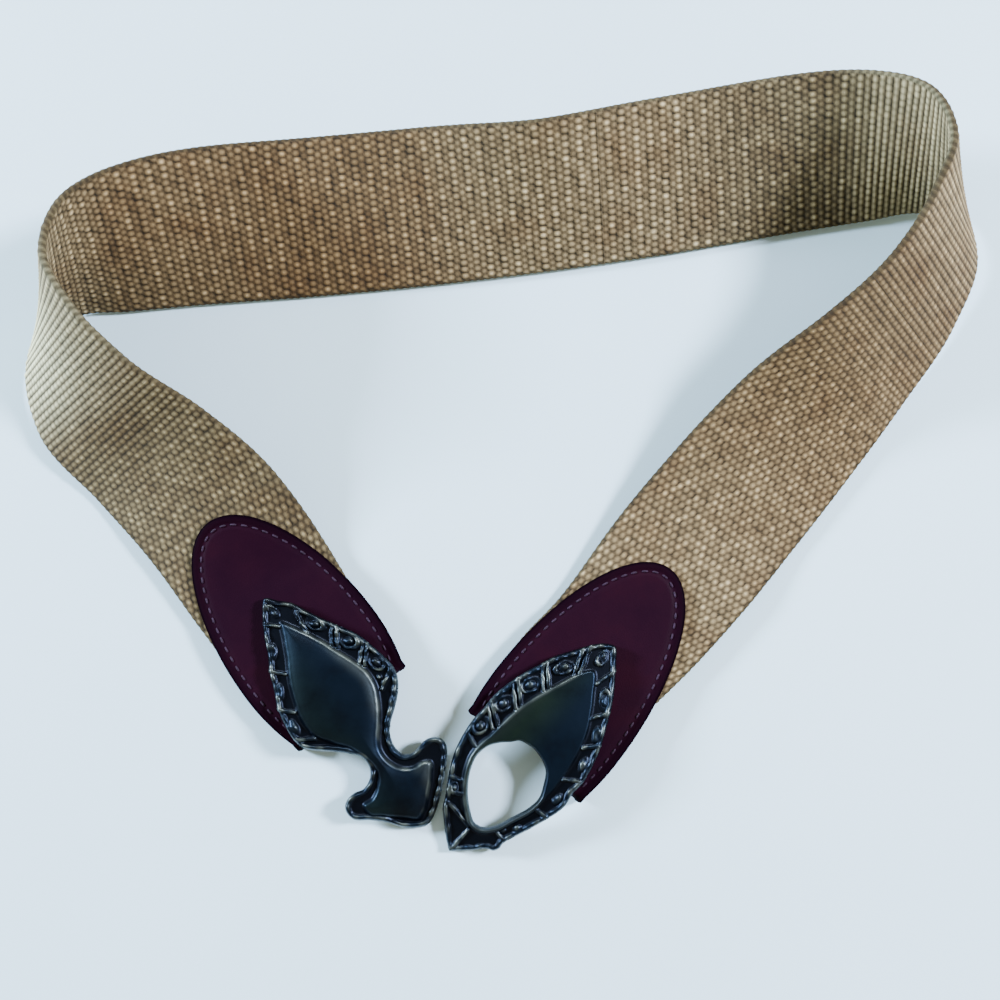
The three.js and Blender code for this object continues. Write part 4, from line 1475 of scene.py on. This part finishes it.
@dataclass
class CastPlate:
    """One half of the clasp as a fine mesh: a square net cut to the outline, with the relief on top.

    The leaf is bowed along its length, rests on its far end and is carried at the fold of its
    tongue by two lugs with pegs.
    """

    name: str
    leaf: LeafPattern
    tip: PlanFrame
    fold: PlanFrame
    length: float
    # How it lies: the tip's height over the table and the bow in the middle.
    tip_lift: float = 6.3
    bow: float = 4.0
    # The net of points, and the steps of the lines it is cut to.
    net: float = 0.25
    line_step: float = 0.5
    # The relief, as rises over the underside or over the part of the face below.
    edge_rise: float = 1.2
    edge_reach: float = 0.7
    floor_rise: float = 2.1
    rim_rise: float = 0.8
    rim_inset: float = 0.85
    rim_half: float = 0.9
    bar_rise: float = 1.1
    bar_half: float = 0.62
    bead_power: float = 0.7
    ring_rise: float = 0.95
    ring_place: float = 0.92
    ring_half: float = 0.26
    ring_gap: float = 0.75
    shoulder_rise: float = 1.0
    lip_rise: float = 0.06
    lip_inset: float = 0.6
    lip_half: float = 0.9
    dome_rise: float = 1.2
    dome_reach: float = 7.0
    dome_power: float = 2.6
    # The brim round the eye: how far along it comes in and is full, and its own low lip.
    brim_rise: float = 1.9
    brim_from: float = 46.0
    brim_full: float = 53.0
    brim_lip: float = 0.3
    # How far the drawn lines drift, and how uneven the cast heights are.
    drift: float = 0.09
    unevenness: float = 0.25
    # The finish: how worn each height is, which hand's shoulder gets a painted highlight, how
    # strong it and the painted sheen are, and how much olive painted reflection the field has.
    highlit_hand: Hand = Hand.LEFT
    border_wear: float = 0.62
    shoulder_highlight: float = 0.4
    brim_wear: float = 0.25
    sheen: float = 0.3
    olive: float = 0.4
    # The two lugs and pegs, measured from the middle of the fold.
    lug_across: float = 10.8
    lug_sink: float = 0.9
    peg_bend: float = 1.3
    peg_radius: float = 1.1
    peg_end: float = 17.5
    peg_height: float = 3.0
    peg_wear: float = 0.2

    def underside(self, along: np.ndarray) -> np.ndarray:
        """Height of the underside: a straight fall from the tip to the far end, with a bow on top."""
        part = np.clip(along / self.length, 0.0, 1.0)
        return self.tip_lift * (1.0 - part) + 4.0 * self.bow * part * (1.0 - part)

    def to_table(self, plan: np.ndarray, rise: np.ndarray) -> np.ndarray:
        """Points on the table, from the clasp's own plan and a rise over its underside."""
        spot = self.tip.spot(plan[..., 0], plan[..., 1])
        return np.concatenate([spot, (self.underside(plan[..., 0]) + rise)[..., None]], axis=-1)

    def waver(self, plan: np.ndarray, size: float) -> np.ndarray:
        """Small smooth drift that keeps the cast lines from being ruled.

        It is a sum of two crossed waves each way.

        Args:
            plan: Places in the clasp's own plan.
            size: Height of the waves.

        Returns:
            The drift along and across.
        """
        along, across = plan[..., 0], plan[..., 1]
        one = np.sin(0.9 * along + 0.5 * across + 0.7) + np.sin(1.7 * along - 1.1 * across + 2.1)
        two = np.sin(1.3 * across - 0.6 * along + 1.9) + np.sin(2.1 * across + 0.8 * along + 4.0)
        return size * np.stack([one, two], axis=-1)

    def border_rise(self, plan: np.ndarray) -> np.ndarray:
        """Rise of the border's bars and of the oval beads in its cells.

        A bar is a ridge along a short line. A bead is a low lens with a ring round it, which is
        open on one side.

        Args:
            plan: Places in the clasp's own plan.

        Returns:
            The rise at each place.
        """
        rise = np.zeros(plan.shape[:-1])
        for from_along, from_across, to_along, to_across in self.leaf.bars:
            line = np.array([[from_along, from_across], [to_along, to_across]])
            rise = np.maximum(rise, self.bar_rise * ridge(line_distance(plan, line), self.bar_half))
        for along, across, half_length, half_width, turn, share in self.leaf.beads:
            swing = np.radians(turn)
            offset = plan - np.array([along, across])
            u = offset[..., 0] * np.cos(swing) + offset[..., 1] * np.sin(swing)
            v = -offset[..., 0] * np.sin(swing) + offset[..., 1] * np.cos(swing)
            reach = np.sqrt((u / half_length) ** 2 + (v / half_width) ** 2)
            lens = np.clip(1.0 - (reach / share) ** 2, 0.0, 1.0)
            rise = np.maximum(rise, lens**self.bead_power)
            if share < 1.0:
                gap = 0.5 + 0.5 * np.cos(np.arctan2(v, u) - 6.0 * along)
                ring = self.ring_rise * ridge(reach - self.ring_place, self.ring_half)
                rise = np.maximum(rise, ring * (1.0 - self.ring_gap * gap**2))
        return rise

    def face_rise(self, plan: np.ndarray, edge: np.ndarray) -> tuple[np.ndarray, dict[str, np.ndarray]]:
        """Rise of the cast face over the underside, and its worn parts, painted highlight and sheen,
        sunk channel and painted olive reflection.

        From the edge inwards: a rounded rim, a sunk channel with bars and beads, a shoulder with
        a low lip and a pillowed field. Wear is on the heights of the border. Along the shoulder of
        the highlit hand lies a painted highlight, and inside it a broad painted sheen: brighter
        metal there, as where the light falls on that side. Wear and highlight come in patches.

        Args:
            plan: Places in the clasp's own plan.
            edge: Closed outline of the plate.

        Returns:
            The rise, and the shares of worn metal with painted highlight and sheen, of the sunk
            channel and of the painted olive reflection.
        """
        drawn = plan + self.waver(plan, self.drift)
        uneven = 1.0 + 0.9 * self.waver(plan, self.unevenness)[..., 0]
        way_in = line_distance(plan, edge, closed=True)
        climb = smooth_step(way_in, 0.0, self.edge_reach)
        base = self.edge_rise + (self.floor_rise - self.edge_rise) * climb
        rim = ridge(line_distance(drawn, edge, closed=True) - self.rim_inset, self.rim_half)
        rim = self.rim_rise * uneven * rim
        field = smooth_loop(self.leaf.field, self.line_step)
        depth = line_distance(plan, field, closed=True)
        depth = np.where(inside(plan, field), depth, -depth)
        shoulder = self.shoulder_rise * smooth_step(depth, -0.7, 0.9)
        lip = self.lip_rise * uneven * ridge(depth - self.lip_inset, self.lip_half)
        over = 1.0 - np.clip(depth / self.dome_reach, 0.0, 1.0)
        dome = self.dome_rise * (1.0 - over**self.dome_power)
        relief = self.border_rise(drawn) * smooth_step(-depth, -0.8, 0.4) * uneven
        border = np.maximum(rim, relief)
        toward = self.highlit_hand.value * plan[..., 1]
        wear_and_sheen = self.border_wear * smooth_step(border, 0.55, 1.15)
        # Painted highlight: brighter metal along the shoulder on the highlit hand, where the light falls.
        wear_and_sheen = wear_and_sheen + self.shoulder_highlight * ridge(depth - 0.5, 0.7) ** 2 * smooth_step(toward, 0.0, 5.0)
        patches = self.waver(plan * 0.6 + 31.0, self.unevenness)[..., 1]
        wear_and_sheen = wear_and_sheen * np.clip(0.7 + 2.6 * patches, 0.05, 1.3)
        # Painted sheen: a broad band of brighter metal just inside that shoulder, for a soft highlight.
        rubbed = smooth_step(depth, -0.1, 0.6) * (1.0 - smooth_step(depth, 0.6, 5.0))
        wear_and_sheen = wear_and_sheen + self.sheen * rubbed * smooth_step(toward, 5.0, 10.0)
        sunk = (1.0 - smooth_step(border, 0.1, 0.7)) * (1.0 - smooth_step(depth, -0.4, 0.3))
        # On the field's right side, an olive tint: a painted reflection of the warm room.
        olive_reflection = smooth_step(depth, 0.0, 1.5) * (1.0 - smooth_step(plan[..., 1], -9.0, 4.0))
        shares = {"wear_and_sheen": np.clip(wear_and_sheen, 0.0, 1.0), "sunk": sunk, "olive_reflection": self.olive * olive_reflection}
        return base + np.maximum(border, shoulder + lip + dome), shares

    def round_eye(
        self, plan: np.ndarray, eye: np.ndarray, rise: np.ndarray, shares: dict[str, np.ndarray]
    ) -> np.ndarray:
        """Bring the face down to the eye's edge, with a low brim round the eye's far side.

        Args:
            plan: Places in the clasp's own plan.
            eye: Closed outline of the eye.
            rise: Rise of the face.
            shares: Shares of the finish, whose share of worn metal is raised on the brim.

        Returns:
            The new rise.
        """
        away = line_distance(plan, eye, closed=True)
        far_side = smooth_step(plan[:, 0], self.brim_from, self.brim_full)
        worn = self.brim_wear * far_side * ridge(away - 0.8, 0.6)
        shares["wear_and_sheen"] = np.maximum(shares["wear_and_sheen"], worn)
        rise = np.minimum(rise, self.edge_rise + self.brim_rise * smooth_step(away, -0.3, 0.7))
        return rise + self.brim_lip * far_side * ridge(away - 0.9, 0.7)

    def surface(self) -> Surface:
        """Cut the net to the outline, pull its border onto the outline and raise the relief.

        Returns:
            The closed plate: the cast face, a plain underside and walls between.
        """
        edge = smooth_loop(self.leaf.outline, self.line_step)
        holes = [smooth_loop(self.leaf.eye, self.line_step)] if self.leaf.eye else []
        low, high = edge.min(0) - self.net, edge.max(0) + self.net
        u = np.arange(low[0], high[0] + self.net, self.net)
        v = np.arange(low[1], high[1] + self.net, self.net)
        plan = np.stack(np.meshgrid(u, v, indexing="ij"), axis=-1)
        centre = (plan[1:, 1:] + plan[:-1, :-1]) / 2.0
        kept = inside(centre, edge)
        for hole in holes:
            kept &= ~inside(centre, hole)
        used, faces = np.unique(grid_faces(len(u), len(v))[kept.ravel()], return_inverse=True)
        faces = faces.reshape(-1, 4)
        plan = plan.reshape(-1, 2)[used]
        border = np.bincount(faces.ravel(), minlength=len(used)) < 4
        plan[border] = pulled(plan[border], [edge, *holes])
        rise, shares = self.face_rise(plan, edge)
        for hole in holes:
            rise = self.round_eye(plan, hole, rise, shares)
        return Surface(
            np.vstack([self.to_table(plan, rise), self.to_table(plan, np.zeros(len(plan)))]),
            np.vstack([faces, faces[:, ::-1] + len(used), edge_walls(faces, len(used))]),
            {key: np.concatenate([share, np.zeros(len(used))]) for key, share in shares.items()},
        )

    def peg(self, hand: Hand) -> Surface:
        """One lug and its peg: a rod that comes down from the plate and bends out into the fold.

        Its core is a straight way down, a quarter circle and a straight way out.

        Args:
            hand: Which side of the tongue the peg is on.

        Returns:
            A rod of round rings along the bend.
        """
        bend_steps, sides = 7, 16
        side = self.fold.axes()[1]
        foot = np.array([self.fold.x, self.fold.y]) + hand.value * self.lug_across * side
        along = (foot - np.array([self.tip.x, self.tip.y])) @ self.tip.axes()[0]
        top = float(self.underside(np.array(along))) + self.lug_sink
        angle = np.linspace(0.0, np.pi / 2.0, bend_steps)
        bend_top = self.peg_height + self.peg_bend
        reach = self.lug_across + self.peg_bend * (1.0 - np.cos(angle))
        height = self.peg_height + self.peg_bend * (1.0 - np.sin(angle))
        across = np.concatenate([[self.lug_across] * 2, reach, [self.peg_end]])
        level = np.concatenate([[top, (top + bend_top) / 2.0], height, [self.peg_height]])
        plan = self.fold.spot(np.zeros(len(across)), hand.value * across)
        core = np.concatenate([plan, level[:, None]], axis=-1)
        axis = unit(np.gradient(core, axis=0))
        level_side = np.broadcast_to([-side[1], side[0], 0.0], core.shape)
        points = tube_points(core, level_side, np.cross(axis, level_side), self.peg_radius, sides)
        worn = np.full(points[..., 0].size, self.peg_wear)
        return Surface(points.reshape(-1, 3), tube_faces(len(core), sides), {"wear_and_sheen": worn})

    def build(self, placement: Placement, finish: bpy.types.Material) -> None:
        """Make the plate and its two pegs.

        Args:
            placement: Where the table lies in the frame.
            finish: The metal's material.
        """
        plate = make_piece(f"{self.name}_casting", self.surface(), placement, finish)
        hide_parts(self.name)
        for hand in Hand:
            name = f"{self.name}_peg_{hand.name.lower()}"
            make_piece(name, self.peg(hand), placement, finish)


@dataclass(frozen=True)
class SoftLight:
    """A square soft light: its place and aim in metres, its width in metres, watts and colour.

    A light that is not matt shows in reflections alone.
    """

    name: str
    place: tuple[float, float, float]
    aim: tuple[float, float, float]
    width: float
    watts: float
    colour: str
    matt: bool = True

    def build(self) -> None:
        """Hang the light and turn it from its place to its aim."""
        lamp = bpy.data.lights.new(self.name, "AREA")
        lamp.shape = "SQUARE"
        lamp.size = self.width
        lamp.energy = self.watts
        lamp.color = linear(self.colour)[:3]
        item = bpy.data.objects.new(self.name, lamp)
        item.location = self.place
        x, y, z = np.array(self.aim) - np.array(self.place)
        tilt, turn = np.arctan2(np.hypot(x, y), -z), np.arctan2(y, x) - np.pi / 2.0
        item.rotation_euler = (float(tilt), 0.0, float(turn))
        item.visible_diffuse = self.matt
        bpy.context.scene.collection.objects.link(item)


@dataclass
class Studio:
    """The pale table, the soft lights, the room and the camera."""

    table_half: float = 1.6
    lights: tuple[SoftLight, ...] = (
        SoftLight("left_window", (-1.25, 0.3, 0.52), (0.0, 0.0, 0.0), 0.26, 90.0, "cde3ff"),
        SoftLight("right_window", (1.05, 0.22, 0.88), (0.0, 0.0, 0.0), 0.24, 75.0, "dde7ff"),
        SoftLight("back_window", (0.0, 1.05, 0.75), (0.0, -0.05, 0.0), 0.4, 30.0, "eef6ff", matt=False),
    )
    room_strength: float = 1.3
    # The camera, in millimetres on the table and over it, its tilt in degrees and its lens.
    camera_y: float = -60.4
    camera_z: float = 342.7
    camera_tilt: float = 10.0
    lens: float = 38.592
    film_width: float = 36.0
    nearest_seen: float = 10.0

    def table(self, finish: bpy.types.Material) -> None:
        """Lay the table: one wide face at the height on which the belt rests.

        Args:
            finish: The table's material.
        """
        half = self.table_half
        corners = [(-half, -half, 0.0), (half, -half, 0.0), (half, half, 0.0), (-half, half, 0.0)]
        mesh = bpy.data.meshes.new("table")
        mesh.from_pydata(corners, [], [(0, 1, 2, 3)])
        mesh.materials.append(finish)
        table = bpy.data.objects.new("table", mesh)
        bpy.context.scene.collection.objects.link(table)

    def room(self) -> None:
        """Fill the room with light: dim overhead, where the camera hangs, and bright at the walls."""
        world = bpy.data.worlds.new("room")
        world.use_nodes = True
        tree = world.node_tree
        direction = add_node(tree, "ShaderNodeTexCoord").outputs["Generated"]
        height = add_node(tree, "ShaderNodeSeparateXYZ", {"Vector": direction}).outputs["Z"]
        walls = add_node(
            tree, "ShaderNodeValToRGB", {"Fac": height},
            [(0.0, "efebdc"), (0.35, "f3efe0"), (0.7, "b7b3a3"), (1.0, "797568")],
        ).outputs["Color"]
        set_inputs(tree.nodes["Background"], {"Color": walls, "Strength": self.room_strength})
        bpy.context.scene.world = world

    def camera(self, placement: Placement) -> None:
        """Set the camera that the photo was taken with.

        Args:
            placement: Where the table lies in the frame.
        """
        data = bpy.data.cameras.new("camera")
        data.lens = self.lens
        data.sensor_width = self.film_width
        data.clip_start = self.nearest_seen * MM
        item = bpy.data.objects.new("camera", data)
        item.location = placement.to_frame(np.array([0.0, self.camera_y, self.camera_z])).tolist()
        item.rotation_euler = (float(np.radians(self.camera_tilt)), 0.0, 0.0)
        bpy.context.scene.collection.objects.link(item)
        bpy.context.scene.camera = item

    def build(self, placement: Placement) -> None:
        """Set up the whole studio.

        Args:
            placement: Where the table lies in the frame.
        """
        self.table(PaleTable().build())
        for light in self.lights:
            light.build()
        self.room()
        self.camera(placement)
        LOG.info("studio: table, %d lights, room and camera", len(self.lights))


def main() -> None:
    """Build the belt piece by piece, light it and set the camera."""
    logging.basicConfig(level=logging.INFO, format="%(message)s")
    webbing, metal = BasketWeaveWebbing().build(), AntiqueGunmetal().build()
    leather, thread = BurgundyLeather().build(), MauveThread().build()
    loop_fold = PlanFrame(x=8.96, y=-78.83, heading=51.2)
    hook_fold = PlanFrame(x=-47.43, y=-64.28, heading=128.7)
    band = WovenBand()
    placement = find_placement(band)
    LOG.info("table shift %.3f %.3f mm", placement.shift_x, placement.shift_y)
    band.build(placement, webbing)
    for tongue in (
        LeatherTongue("loop_tab", loop_fold, fold_end=0.0, half_width=23.4, widest=14.0, root=43.9),
        LeatherTongue("hook_tab", hook_fold, fold_end=band.length, half_width=23.7, widest=20.0, root=42.0),
    ):
        tongue.build(band, placement, leather, thread)
    hook_tip = PlanFrame(x=-73.6, y=-32.6, heading=-53.5)
    loop_tip = PlanFrame(x=34.5, y=-47.4, heading=-127.2)
    for plate in (
        CastPlate("hook_plate", HOOK_LEAF, hook_tip, hook_fold, length=86.0),
        CastPlate(
            "loop_plate", LOOP_LEAF, loop_tip, loop_fold, length=79.0,
            highlit_hand=Hand.RIGHT, sheen=0.08, olive=0.85,
        ),
    ):
        plate.build(placement, metal)
    Studio().build(placement)


if __name__ == "__main__":
    main()
